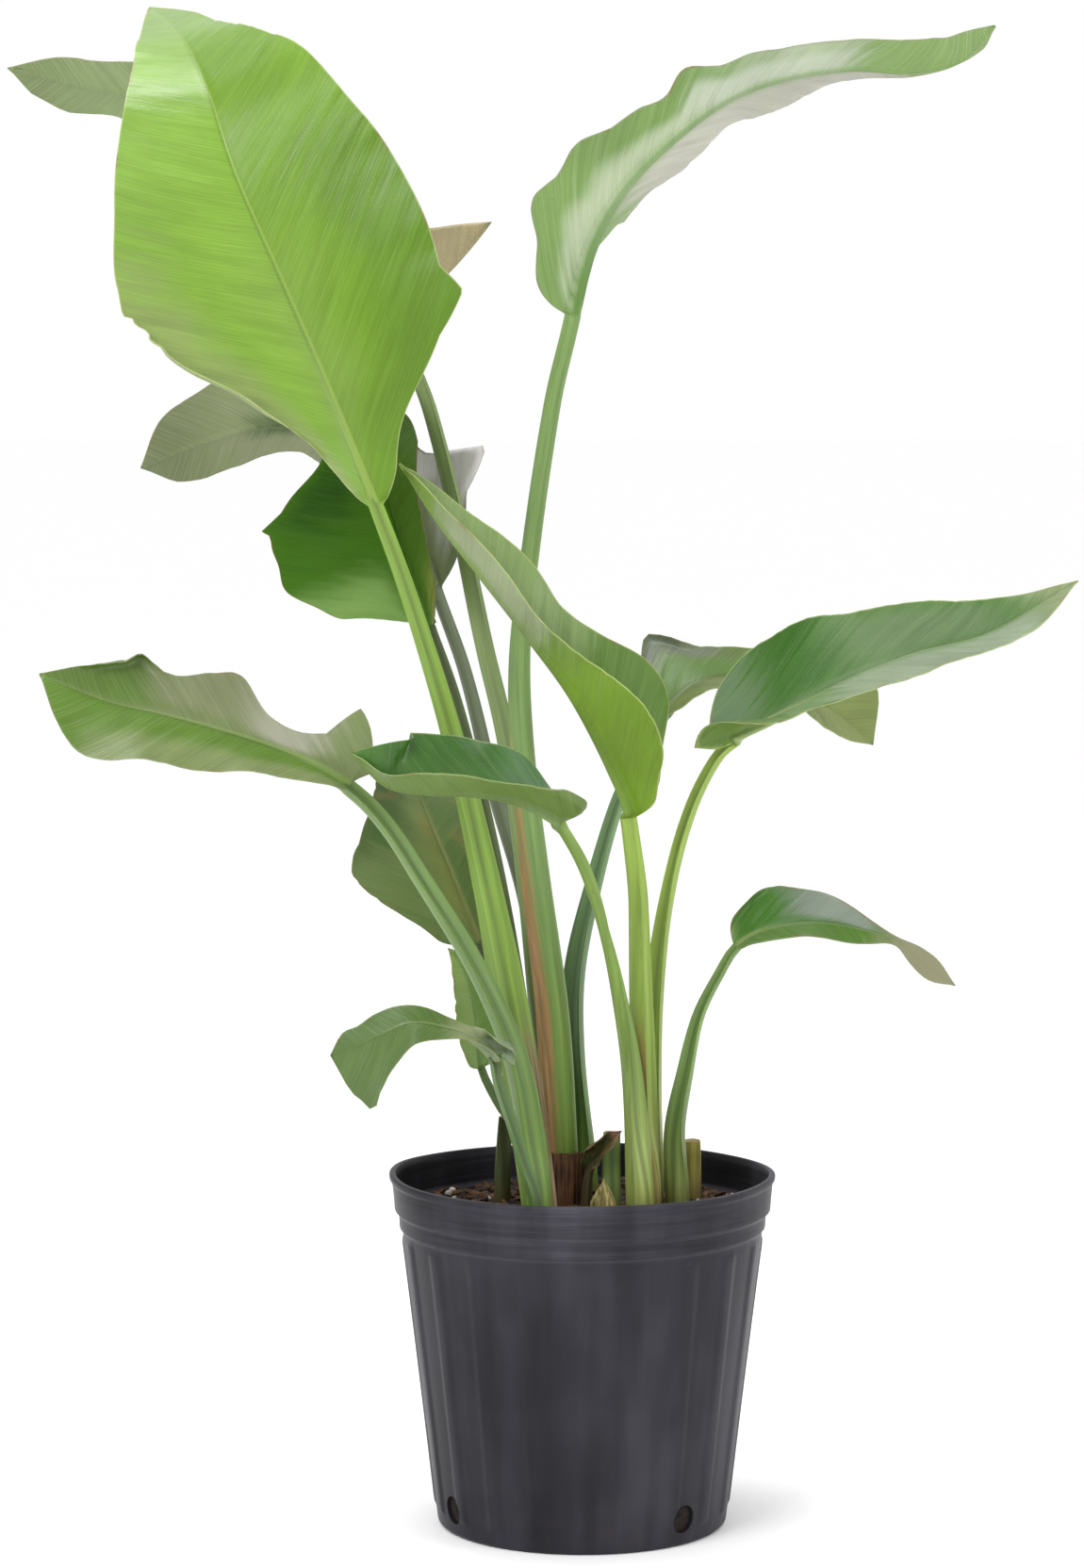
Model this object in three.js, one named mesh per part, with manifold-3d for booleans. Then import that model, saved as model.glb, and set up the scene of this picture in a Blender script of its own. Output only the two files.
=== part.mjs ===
// Bird of paradise plant in a fluted nursery pot.
// Millimetres, +Z up. The origin is the middle of the face that the pot stands on, and -Y is the front.

import * as THREE from "three";
import { mergeVertices } from "three/addons/utils/BufferGeometryUtils.js";
import Module from "manifold-3d";

const wasm = await Module();
wasm.setup();

// Pot, a black ten inch (three gallon) nursery pot
const POT_HEIGHT = 235;
const RIM_RADIUS = 127;
const FOOT_RADIUS = 97;
const WALL = 2.2;
const FLOOR = 4;
const LIP_WIDTH = 5;
const UPPER_BAND = 22; // height of the band under the lip
const LOWER_BAND = 12; // height of the smaller band under it
const BAND_STEP = 2.6; // how far each band steps in from the one above
const FLUTES = 20;
const RIDGE = 1.2; // how far the ridge between two flutes stands out
const RIDGE_SHARE = 0.18; // half the ridge's share of a flute's width
const SQUEEZE = 1.6; // the rim is a little out of round
const DRAIN_RADIUS = 9.4;
const DRAIN_HEIGHT = 18.5;
const DRAIN_ANGLES = [-60, 42, 120, 222]; // degrees from the front, towards +X

// Soil
const SOIL_LEVEL = POT_HEIGHT - 23;
const ROOT_LEVEL = SOIL_LEVEL - 22; // where the stems' lower ends stand
const GAP = 0.35; // between pieces that touch
const WALL_GAP = 0.5; // between the soil and the pot's sloping wall
const LUMP = 1.5;

// Leaves
const BLADE = 0.9; // thickness of a blade
const CHANNEL = 0.22; // depth of the groove along a leaf stalk, as a share of its width
const KEEL = 0.56; // depth of the stalk's rounded back, as a share of its width
const SOCKET = 40; // length of the foot of a stalk that a hole in the soil is shaped for
const BLADE_STEPS = [
  0.012, 0.04, 0.08, 0.13, 0.2, 0.27, 0.34, 0.41, 0.49, 0.57, 0.65, 0.73, 0.81, 0.89, 0.95, 1,
];
const LEAST_STEP = 0.018; // a step this near a margin's corner is left out

const COLOURS = {
  bright: 0x86b343,
  fresh: 0x7aa052,
  deep: 0x3f7238,
  pale: 0x93a878,
  dull: 0x66784f,
  pot: 0x2b2b2d,
  soil: 0x2a1f1a,
  tan: 0xa8905a,
  brown: 0x6a5238,
};

// Each leaf: the stalk's points from the soil up, the rib's points from the foot of the blade to its tip,
// the way the upper side faces along the blade, the stalk's width from the soil up, and the half widths
// of the blade on its left and right from foot to tip. rise is the angle in degrees at which a half stands
// up from the rib, wave is the height, count and phase of the waves in the margin, and lobe is how far the
// margin reaches back past the foot of the blade. peaks are the corners of a margin: where each one is,
// how far it stands out and how far it spreads.
const LEAVES = {
  leaf_front_tall: {
    colour: "bright",
    stalk: [[-27, -40, 190], [-29, -40, 225], [-42, -46, 320], [-60, -56, 422], [-82, -68, 522],
      [-108, -84, 612]],
    rib: [[-132, -97, 681], [-160, -106, 752], [-191, -108, 824], [-221, -98, 892], [-240, -72, 946],
      [-257, -22, 979], [-272, 30, 998], [-290, 82, 1012]],
    face: [[0, -1, 0.2], [0, -1, 0.25], [0, -1, 0.35], [-0.1, -0.8, 0.6], [-0.1, -0.5, 0.8],
      [0, -0.35, 0.9]],
    girth: [22, 24, 23, 18, 14, 11, 9],
    left: [8, 25, 54, 91, 99, 79, 60, 42, 29, 16, 0],
    right: [14, 38, 86, 99, 98, 90, 73, 49, 31, 18, 0],
    peaks: { left: [[0.37, 6, 0.03]], right: [[0.225, 13, 0.04]] },
    rise: { left: [25, 8, 4, 4], right: [30, 12, 8, 4] },
    wave: [2, 3, 0.1],
  },
  leaf_top_right: {
    colour: "fresh",
    stalk: [[-11, 22, 190], [-12, 22, 240], [-17, 24, 336], [-29, 22, 432], [-38, 20, 514], [-40, 18, 584],
      [-32, 14, 659], [-21, 8, 734]],
    rib: [[-8, 0, 805], [4, 0, 850], [26, 1, 888], [58, 2, 920], [96, 4, 947], [136, 7, 961], [176, 8, 966],
      [212, 5, 964], [245, 0, 970], [268, -5, 993]],
    face: [[-0.6, 0.7, 0.3], [-0.5, 0.75, 0.4], [-0.4, 0.75, 0.5], [-0.2, 0.8, 0.5], [0, 0.8, 0.5]],
    girth: [22, 23, 21, 18, 15, 12, 11, 10],
    left: [8, 14, 40, 50, 50, 49, 38, 24, 5, 7, 0],
    right: [24, 32, 40, 54, 44, 47, 38, 35, 27, 36, 25, 26, 22, 20, 20, 23, 24, 22, 20, 15, 0],
    peaks: { left: [[0.96, 8, 0.05]] },
    rise: { left: [30, 30, 30, 35, 40], right: [10, 10, 5, 0, 0] },
    wave: [2.5, 4.5, 0.1],
  },
  leaf_right: {
    colour: "deep",
    stalk: [[46, 20, 190], [47, 20, 235], [47, 16, 293], [49, 8, 351], [55, -5, 410], [66, -25, 465],
      [83, -45, 512]],
    rib: [[98, -54, 530], [132, -64, 550], [172, -70, 571], [214, -76, 588], [261, -78, 601],
      [318, -75, 634]],
    face: [[-0.3, -0.6, 0.7], [-0.2, -0.75, 0.6], [-0.2, -0.75, 0.6], [-0.2, -0.7, 0.6]],
    girth: [19, 18, 15, 12, 9, 8, 7],
    left: [36, 55, 59, 55, 44, 41, 35, 28, 20, 10, 0],
    right: [16, 28, 12, 24, 26, 26, 26, 25, 21, 17, 0],
    rise: { left: [5], right: [110, 60, 25, 25, 25, 25, 25, 25, 25, 25, 25] },
    wave: [2, 3, 0.1],
    lobe: { left: 18, right: 30 },
  },
  leaf_middle: {
    colour: "bright",
    stalk: [[42, 0, 190], [42, -2, 232], [40, -8, 296], [38, -18, 361], [36, -31, 425]],
    rib: [[33, -45, 478], [20, -56, 512], [-6, -73, 560], [-36, -85, 600], [-66, -92, 638], [-94, -95, 674],
      [-117, -92, 710]],
    face: [[0.9, -0.4, 0.3], [0.8, -0.3, 0.3], [0.8, -0.1, 0.4], [0.8, -0.1, 0.4]],
    girth: [18, 19, 17, 14, 11],
    left: [16, 39, 64, 68, 36, 24, 20, 18, 16, 11, 0],
    right: [14, 34, 53, 53, 38, 30, 32, 30, 23, 14, 0],
    rise: { left: [60, 55, 55, 50], right: [50, 55, 60, 60] },
    wave: [2, 3, 0.1],
    lobe: { left: -3, right: -3 },
  },
  leaf_low_right: {
    colour: "fresh",
    stalk: [[65, 8, 190], [65, 6, 224], [63, -2, 264], [69, -10, 303], [77, -16, 342], [89, -22, 371]],
    rib: [[100, -28, 391], [118, -34, 403], [145, -40, 409], [172, -44, 407], [203, -48, 398],
      [224, -53, 381], [243, -56, 369]],
    face: [[-0.3, -0.6, 0.7], [0, -0.8, 0.6], [0.2, -0.8, 0.5], [0.3, -0.7, 0.6]],
    girth: [16, 15, 13, 10, 7, 6],
    left: [14, 25, 30, 25, 20, 13, 7, 4, 8, 8, 0],
    right: [8, 10, 11, 13, 15, 14, 9, 4, 9, 9, 0],
    rise: { left: [5], right: [10] },
    wave: [2, 2.5, 0.1],
  },
  leaf_left: {
    colour: "fresh",
    stalk: [[-31, -64, 190], [-32, -64, 235], [-37, -66, 281], [-46, -72, 325], [-60, -80, 362],
      [-78, -88, 398], [-106, -100, 445], [-130, -110, 485]],
    rib: [[-148, -117, 505], [-169, -124, 519], [-199, -131, 532], [-231, -139, 543], [-266, -145, 553],
      [-302, -150, 562], [-342, -152, 579]],
    face: [[0.3, -0.6, 0.7], [0, -0.7, 0.7], [-0.1, -0.7, 0.7], [-0.1, -0.7, 0.7]],
    girth: [18, 18, 17, 15, 13, 12, 11, 10],
    left: [8, 15, 22, 29, 34, 39, 42, 46, 47, 29, 0],
    right: [40, 30, 17, 20, 43, 38, 29, 36, 31, 16, 0],
    peaks: { right: [[0.07, 24, 0.06], [0.715, 5, 0.04]] },
    rise: { left: [10, 5, 5], right: [10] },
    wave: [1.5, 3, 0.3],
    lobe: { right: 10 },
  },
  leaf_centre_small: {
    colour: "deep",
    stalk: [[38, -22, 190], [36, -24, 236], [31, -28, 312], [23, -38, 364], [13, -52, 409], [2, -72, 445],
      [-8, -92, 470]],
    rib: [[-16, -103, 481], [-42, -118, 495], [-72, -128, 501], [-98, -134, 502], [-125, -138, 507],
      [-147, -135, 528]],
    face: [[0.2, -0.3, 0.9], [0, -0.3, 0.9], [0, -0.35, 0.9], [-0.1, -0.3, 0.9]],
    girth: [19, 17, 14, 11, 8, 8, 7],
    left: [30, 29, 22, 20, 19, 19, 19, 18, 14, 8, 0],
    right: [10, 19, 31, 35, 35, 37, 38, 38, 36, 27, 0],
    rise: { left: [50, 60, 75], right: [50, 55, 60] },
    wave: [2, 2, 0.1],
    lobe: { left: 8 },
  },
  leaf_low_left: {
    colour: "fresh",
    stalk: [[-30, -84, 190], [-31, -84, 228], [-38, -86, 253], [-47, -92, 285], [-54, -97, 310]],
    rib: [[-58, -103, 330], [-73, -110, 344], [-90, -114, 350], [-110, -116, 353], [-128, -114, 346],
      [-145, -110, 338], [-163, -104, 330]],
    face: [[0.5, -0.7, 0.6], [0, -0.7, 0.7], [0, -0.7, 0.7], [-0.2, -0.8, 0.5], [-0.2, -0.8, 0.4]],
    girth: [8, 8, 8, 7, 6],
    left: [10, 8, 7, 9, 13, 19, 25, 31, 41, 33, 0],
    right: [24, 12, 6, 8, 11, 13, 15, 15, 12, 11, 0],
    peaks: { left: [[0.82, 9, 0.05]] },
    rise: { left: [60, 5, 5, 5], right: [50, 5, 5, 5] },
    wave: [1, 2, 0.1],
    lobe: { left: 8, right: 14 },
  },
  leaf_low_back: {
    colour: "deep",
    stalk: [[-34, -8, 190], [-36, -8, 226], [-46, -10, 267], [-56, -11, 284]],
    rib: [[-67, -12, 308], [-70, -13, 334], [-74, -14, 358], [-80, -14, 376], [-89, -12, 388]],
    face: [[0.3, -0.8, 0.3], [0.2, -0.8, 0.3], [0.1, -0.8, 0.3]],
    girth: [7, 7, 6, 5],
    left: [8, 13, 14, 12, 8, 0],
    right: [12, 18, 20, 18, 12, 0],
    rise: { left: [10, 5, 5], right: [10, 5, 5] },
    wave: [1, 2, 0.1],
  },
  leaf_hanging_back: {
    colour: "dull",
    stalk: [[-35, 10, 190], [-35, 10, 222], [-36, 12, 274], [-46, 17, 325], [-58, 24, 361]],
    rib: [[-68, 29, 386], [-86, 42, 428], [-102, 65, 463], [-114, 102, 488], [-122, 148, 500],
      [-126, 190, 497]],
    face: [[0.3, -0.8, 0.5], [0.2, -0.8, 0.5], [0.2, -0.6, 0.7], [0.2, -0.5, 0.8]],
    girth: [8, 8, 7, 6, 6],
    left: [24, 40, 60, 67, 50, 36, 28, 24, 18, 11, 0],
    right: [8, 18, 22, 26, 26, 22, 14, 0],
    rise: { left: [10, 5, 5], right: [10, 5, 5] },
    wave: [2, 2, 0.1],
  },
  leaf_dark_back: {
    colour: "deep",
    stalk: [[-31, 32, 190], [-31, 32, 218], [-35, 36, 302], [-47, 46, 384], [-65, 56, 473], [-84, 62, 546]],
    rib: [[-102, 66, 597], [-118, 68, 643], [-132, 70, 689], [-141, 74, 728], [-147, 80, 762]],
    face: [[-0.1, -1, 0.2], [-0.1, -1, 0.3], [0, -0.8, 0.6], [0, -0.3, 0.9]],
    girth: [8, 9, 8, 8, 7, 6],
    left: [34, 52, 66, 84, 84, 84, 68, 42, 30, 17, 0],
    right: [20, 50, 60, 60, 50, 42, 26, 0],
    peaks: { left: [[0.535, 10, 0.03]] },
    rise: { left: [5], right: [75, 70, 40] },
    wave: [2, 2, 0.1],
    lobe: { left: -25 },
  },
  leaf_grey_back: {
    colour: "pale",
    stalk: [[-14, 73, 190], [-14, 73, 227], [-20, 74, 317], [-39, 78, 413], [-60, 82, 484], [-77, 90, 554]],
    rib: [[-97, 100, 619], [-118, 111, 672], [-145, 124, 708], [-180, 138, 728], [-216, 150, 731],
      [-260, 162, 720], [-306, 171, 702]],
    face: [[0.6, 0.7, 0.4], [0.4, 0.8, 0.4], [0.1, 0.85, 0.5], [-0.2, 0.8, 0.5], [-0.2, 0.8, 0.5]],
    girth: [14, 14, 13, 11, 9, 8],
    left: [6, 34, 50, 36, 43, 48, 48, 45, 39, 28, 0],
    right: [4, 28, 42, 50, 46, 34, 25, 26, 29, 30, 0],
    peaks: { left: [[0.225, 31, 0.05]], right: [[0.95, 6, 0.05]] },
    rise: { left: [10, 5, 5], right: [10, 10, 5] },
    wave: [2, 2, 0.1],
  },
  leaf_top_left: {
    colour: "pale",
    stalk: [[-20, 50, 190], [-20, 50, 230], [-27, 50, 333], [-37, 50, 429], [-50, 54, 518], [-66, 58, 587],
      [-82, 64, 663], [-100, 72, 735]],
    rib: [[-120, 82, 798], [-135, 90, 840], [-155, 102, 880], [-184, 118, 914], [-226, 134, 938],
      [-282, 150, 952], [-339, 164, 964], [-396, 176, 978]],
    face: [[0.8, -0.1, 0.5], [0.7, 0, 0.6], [0.4, 0.3, 0.8], [0, 0.65, 0.7], [-0.1, 0.75, 0.65],
      [-0.1, 0.75, 0.65]],
    girth: [20, 20, 18, 15, 14, 13, 11, 10],
    left: [40, 52, 47, 42, 46, 42, 36, 30, 24, 18, 0],
    right: [40, 55, 60, 62, 60, 54, 42, 30, 23, 28, 0],
    peaks: { left: [[0.085, 56, 0.04]], right: [[0.96, 6, 0.04]] },
    rise: { left: [55, 50, 25, 10, 5], right: [40, 35, 20, 10, 5] },
    wave: [2, 2, 0.1],
  },
  leaf_right_back: {
    colour: "deep",
    stalk: [[4, 58, 190], [3, 58, 231], [-4, 61, 305], [-3, 66, 363], [10, 74, 423], [26, 84, 477],
      [44, 93, 514]],
    rib: [[56, 100, 536], [78, 110, 556], [108, 120, 560], [142, 130, 552], [176, 138, 534],
      [203, 142, 511]],
    face: [[-0.5, -0.6, 0.6], [-0.3, -0.5, 0.8], [0, -0.5, 0.8], [0.3, -0.6, 0.7]],
    girth: [17, 17, 16, 14, 11, 9, 8],
    left: [34, 44, 44, 40, 36, 34, 34, 40, 48, 46, 0],
    right: [20, 24, 27, 31, 34, 36, 34, 31, 27, 20, 0],
    peaks: { left: [[0.18, 24, 0.06]] },
    rise: { left: [5], right: [20, 15, 10] },
    wave: [2, 2, 0.1],
  },
  dried_leaf_scrap: {
    colour: "brown",
    stalk: [[2, -6, 190], [2, -6, 224]],
    rib: [[4, -6, 238], [10, -8, 248], [17, -11, 257], [26, -13, 266]],
    face: [[-0.5, -0.6, 0.5], [0, -0.8, 0.5]],
    girth: [6, 5],
    left: [6, 9, 10, 7, 0],
    right: [5, 8, 8, 5, 0],
    rise: { left: [40], right: [30] },
    wave: [1.5, 2, 0.1],
  },
};

// Stalks that were cut off: their points from the soil up, width at the soil and at the cut
const STUBS = {
  cut_stub_green: {
    colour: "fresh",
    stalk: [[19, 0, 190], [19, 0, 225], [20, -1, 262]],
    face: [0.3, -1, 0],
    girth: [13, 11],
  },
  cut_stub_yellow: {
    colour: "tan",
    stalk: [[73, 31, 190], [73, 31, 220], [72, 30, 251]],
    face: [-0.3, -1, 0],
    girth: [15, 15],
  },
  cut_stub_dark: {
    colour: "dull",
    stalk: [[-54, 26, 190], [-54, 26, 225], [-51, 27, 268]],
    face: [0.4, -1, 0],
    girth: [11, 9],
  },
};

// A small bud scale at the front and an old sheath, cut straight, around the middle shoot
const BUD = { x: 14, y: -26, radius: 8.5, flat: 0.7, height: 238, lean: 8 };
const SHEATH = { x: -13, y: 26, radius: 18.7, wall: 1.5, height: 248, from: 184, to: 356 };

const radians = THREE.MathUtils.degToRad;
const { clamp, lerp, smoothstep } = THREE.MathUtils;

// A smooth value at t (0 to 1) through evenly spaced numbers
function along(values, t) {
  const last = values.length - 1;
  const x = clamp(t, 0, 1) * last;
  const i = Math.min(Math.floor(x), Math.max(last - 1, 0));
  if (last === 0) return values[0];
  const f = x - i;
  const [b, c] = [values[i], values[i + 1]];
  const a = i > 0 ? values[i - 1] : 2 * b - c;
  const d = i + 2 <= last ? values[i + 2] : 2 * c - b;
  const [bend, twist] = [2 * a - 5 * b + 4 * c - d, 3 * b - a - 3 * c + d];
  return 0.5 * (2 * b + (c - a) * f + bend * f ** 2 + twist * f ** 3);
}

function smoothCurve(points) {
  const places = points.map((p) => new THREE.Vector3(...p));
  return new THREE.CatmullRomCurve3(places, false, "catmullrom", 0.5);
}

function curveThrough(points) {
  const curve = smoothCurve(points);
  curve.arcLengthDivisions = (points.length - 1) * 40;
  return curve;
}

// One closed body from a geometry: shared corners merged and faces pointing out
function closed(geometry) {
  const bare = new THREE.BufferGeometry();
  bare.setAttribute("position", geometry.getAttribute("position"));
  if (geometry.index) bare.setIndex(geometry.index);
  const merged = mergeVertices(bare, 1e-3);
  const p = merged.getAttribute("position");
  const index = [];
  const [a, b, c] = [0, 1, 2].map(() => new THREE.Vector3());
  let volume = 0;
  for (let i = 0; i < merged.index.count; i += 3) {
    const corner = [0, 1, 2].map((k) => merged.index.getX(i + k));
    if (new Set(corner).size < 3) continue;
    index.push(...corner);
    a.fromBufferAttribute(p, corner[0]);
    b.fromBufferAttribute(p, corner[1]);
    c.fromBufferAttribute(p, corner[2]);
    volume += a.dot(b.clone().cross(c));
  }
  merged.setIndex(volume < 0 ? index.reverse() : index);
  return merged;
}

function toSolid(geometry) {
  const mesh = {
    numProp: 3,
    vertProperties: geometry.getAttribute("position").array,
    triVerts: new Uint32Array(geometry.index.array),
  };
  return new wasm.Manifold(new wasm.Mesh(mesh));
}

function cut(geometry, tools) {
  let solid = toSolid(geometry);
  for (const tool of tools) solid = solid.subtract(toSolid(tool));
  const { vertProperties, triVerts } = solid.getMesh();
  const result = new THREE.BufferGeometry();
  result.setAttribute("position", new THREE.BufferAttribute(vertProperties, 3));
  result.setIndex(new THREE.BufferAttribute(triVerts, 1));
  return result;
}

// The line that a leaf or stub follows, and how its sections are turned and shaped along it.
// t is 0 at the foot of the blade, 1 at its tip and below 0 on the stalk.
class Leaf {
  constructor(data) {
    this.data = data;
    this.curve = curveThrough([...data.stalk, ...(data.rib ?? [])]);
    const lengths = this.curve.getLengths();
    this.length = lengths.at(-1);
    this.start = data.rib ? lengths[data.stalk.length * 40] : this.length;
    this.blade = data.rib ? this.length - this.start : 1;
    const face = data.rib ? data.face : [data.face, data.face];
    this.face = smoothCurve(face);
  }

  at(s) {
    return this.curve.getPointAt(clamp(s / this.length, 0, 1));
  }

  frame(t) {
    const s = this.start + t * this.blade;
    const forward = this.at(s + 4).sub(this.at(s - 4)).normalize();
    const up = this.face.getPoint(clamp(t, 0, 1));
    up.addScaledVector(forward, -up.dot(forward)).normalize();
    return { origin: this.at(s), forward, up, right: forward.clone().cross(up) };
  }

  girth(t) {
    const { girth } = this.data;
    if (t < 0 || !this.data.rib) return along(girth, 1 + (t * this.blade) / this.start);
    return girth.at(-1) * (1 - 0.8 * t ** 0.6);
  }

  half(t, side) {
    const least = this.girth(t) / 2 + 0.3;
    if (t <= 0) return least;
    const round = 1 - Math.min(1, t / 0.05);
    const peaks = this.data.peaks?.[side] ?? [];
    const corners = peaks.map(([middle, reach, spread]) => {
      const near = 1 - Math.abs(t - middle) / spread;
      return reach * Math.max(0, near);
    });
    const wide = corners.reduce((sum, corner) => sum + corner, along(this.data[side], t));
    return Math.max(least, wide * Math.sqrt(1 - round ** 2));
  }

  // How far a half of the blade has opened out from the stalk, 0 to 1
  open(t, side) {
    const girth = this.girth(t);
    return clamp((this.half(t, side) - girth / 2 - 0.3) / girth, 0, 1);
  }

  // A corner of the upper or lower face, x out from the rib: its place across and above the stalk's
  // line, and how far back it is drawn
  corner(t, side, x, lower) {
    const girth = this.girth(t);
    const u = x / this.half(t, side);
    const open = this.open(t, side);
    const height = this.start + t * this.blade;
    const angle = t > 0 ? radians(along(this.data.rise[side], t)) * open : 0;
    const swollen = 1 - smoothstep(height, 30, 90);
    const groove = t > 0 ? CHANNEL * (1 - 0.6 * open) : CHANNEL - (CHANNEL + 0.2) * swollen;
    const bow = Math.max(0, 1 - (x / (girth / 2)) ** 2);
    const lift = 0.36 * girth * smoothstep(-t * this.blade, 0, 60);
    const [amount, count, phase] = this.data.wave ?? [0, 0, 0];
    const fade = t > 0 ? Math.min(1, t / 0.1) * Math.min(1, (1 - t) / 0.15) : 0;
    const turn = count * t + phase + (side === "right" ? 0.175 : 0);
    const wave = amount * fade * u ** 2 * Math.sin(2 * Math.PI * turn);
    const back = BLADE + girth * (KEEL + CHANNEL - groove) * Math.sqrt(bow) * (t > 0 ? 1 - 0.4 * t : 1);
    const off = wave - (lower ? back : 0);
    const across = x * Math.cos(angle) - off * Math.sin(angle);
    const above = x * Math.sin(angle) + off * Math.cos(angle) - groove * girth * bow + lift;
    const drawn = t > 0 ? (this.data.lobe?.[side] ?? 0) * u ** 2 * Math.max(0, 1 - t / 0.2) ** 2 * open : 0;
    return new THREE.Vector3(side === "left" ? -across : across, above, -drawn);
  }

  // The corners of one section, over the upper face from left to right and back under the lower one,
  // moved outwards by grow
  section(t, grow) {
    const places = (side, lower) => {
      const radius = this.girth(t) / 2;
      const w = this.half(t, side);
      const open = this.open(t, side);
      const inner = lerp(0.55, 0.9, open) * radius;
      const middle = lerp(0.9 * radius, (0.9 * radius + w) / 2, open);
      return [inner, middle, w].map((x) => this.corner(t, side, x, lower));
    };
    const ring = [
      ...places("left", false).reverse(),
      this.corner(t, "left", 0, false),
      ...places("right", false),
      ...places("right", true).reverse(),
      this.corner(t, "left", 0, true),
      ...places("left", true),
    ];
    const { origin, forward, up, right } = this.frame(t);
    return widened(ring, grow).map((p) => origin.clone()
      .addScaledVector(right, p.x).addScaledVector(up, p.y).addScaledVector(forward, p.z));
  }

  stalkSteps() {
    const rest = this.start - SOCKET;
    const count = Math.max(1, Math.round(rest / 75));
    const above = Array.from({ length: count }, (_, k) => SOCKET + (rest * (k + 1)) / count);
    return [0, SOCKET, ...above].map((s) => (s - this.start) / this.blade);
  }

  // The steps along the blade, with one at each corner of the margin and where the corner starts and ends
  bladeSteps() {
    if (!this.data.rib) return [];
    const peaks = Object.values(this.data.peaks ?? {}).flat();
    const wanted = peaks.flatMap(([middle, , spread]) => [middle - spread, middle, middle + spread]);
    const corners = wanted.filter((t) => t > LEAST_STEP && t < 1 - LEAST_STEP);
    const others = BLADE_STEPS.filter((t) => t === 1 || corners.every((c) => Math.abs(t - c) > LEAST_STEP));
    return [...corners, ...others].sort((a, b) => a - b);
  }

  geometry() {
    return skin([...this.stalkSteps(), ...this.bladeSteps()].map((t) => this.section(t, 0)));
  }

  // The hole in the soil that the foot of the stalk stands in
  socket() {
    const rings = this.stalkSteps().slice(0, 2).map((t) => this.section(t, GAP));
    rings[0].forEach((p) => { p.z -= GAP; });
    return skin(rings);
  }
}

// A ring of corners moved outwards by a distance, square to its sides
function widened(ring, distance) {
  if (distance === 0) return ring;
  const normal = (a, b) => new THREE.Vector3(-(b.y - a.y), b.x - a.x, 0).normalize();
  return ring.map((p, k) => {
    const before = normal(ring.at(k - 1), p);
    const after = normal(p, ring[(k + 1) % ring.length]);
    const way = before.clone().add(after).normalize();
    return p.clone().addScaledVector(way, distance / Math.max(0.5, way.dot(before)));
  });
}

// A closed skin over rings of corners. Both faces of a blade are split along the same diagonals.
function skin(rings) {
  const n = rings[0].length;
  const upper = Math.floor(n / 2) - 1;
  const points = rings.flat();
  const index = [];
  for (let i = 0; i + 1 < rings.length; i += 1) {
    for (let k = 0; k < n; k += 1) {
      const [a, b] = [i * n + k, i * n + ((k + 1) % n)];
      const [c, d] = [a + n, b + n];
      if (k < upper) index.push(a, b, d, a, d, c);
      else index.push(a, b, c, b, d, c);
    }
  }
  const ends = [[0, 1], [rings.length - 1, -1]];
  for (const [i, way] of ends) {
    const ring = rings[i];
    const middle = ring[3].clone().add(ring[10]).multiplyScalar(0.5);
    points.push(middle);
    for (let k = 0; k < n; k += 1) {
      const [a, b] = [i * n + k, i * n + ((k + 1) % n)];
      index.push(...(way > 0 ? [b, a] : [a, b]), points.length - 1);
    }
  }
  const geometry = new THREE.BufferGeometry();
  geometry.setAttribute("position", new THREE.Float32BufferAttribute(points.flatMap((p) => p.toArray()), 3));
  geometry.setIndex(index);
  return closed(geometry);
}

// How far out the pot's wall is pressed at a height: the rim is slightly squeezed
function squeeze(angle, z) {
  return SQUEEZE * Math.cos(2 * (angle - radians(20))) * (z / POT_HEIGHT) ** 3;
}

function lathe(profile, sides) {
  return closed(new THREE.LatheGeometry(profile.map(([r, z]) => new THREE.Vector2(r, z)), sides));
}

// A turned body whose corners follow the pot's flutes: three corners to a flute, on its ridge and
// at both edges of its flat
function turned(profile, ridgeAt = () => 0) {
  const geometry = lathe(profile, 3 * FLUTES);
  geometry.rotateX(Math.PI / 2);
  const p = geometry.getAttribute("position");
  for (let i = 0; i < p.count; i += 1) {
    const [x, y, z] = [p.getX(i), p.getY(i), p.getZ(i)];
    const radius = Math.hypot(x, y);
    if (radius < 1) continue;
    const step = Math.round((Math.atan2(y, x) / (2 * Math.PI)) * 3 * FLUTES + 3 * FLUTES);
    const share = [0, RIDGE_SHARE, 1 - RIDGE_SHARE][step % 3];
    const angle = ((Math.floor(step / 3) + share) * 2 * Math.PI) / FLUTES;
    const r = radius + (share === 0 ? ridgeAt(radius, z) : 0) + squeeze(angle, z) * (radius / RIM_RADIUS);
    p.setXY(i, r * Math.cos(angle), r * Math.sin(angle));
  }
  return closed(geometry);
}

// Heights and radii that the pot and the soil share
const bandTop = POT_HEIGHT - 2.5;
const bandFoot = bandTop - UPPER_BAND;
const secondFoot = bandFoot - LOWER_BAND;
const bandRadius = RIM_RADIUS - 1.5;
const secondRadius = bandRadius - BAND_STEP - 1.2;
const bodyRadius = secondRadius - BAND_STEP;
const fluteFoot = 9;

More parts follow.
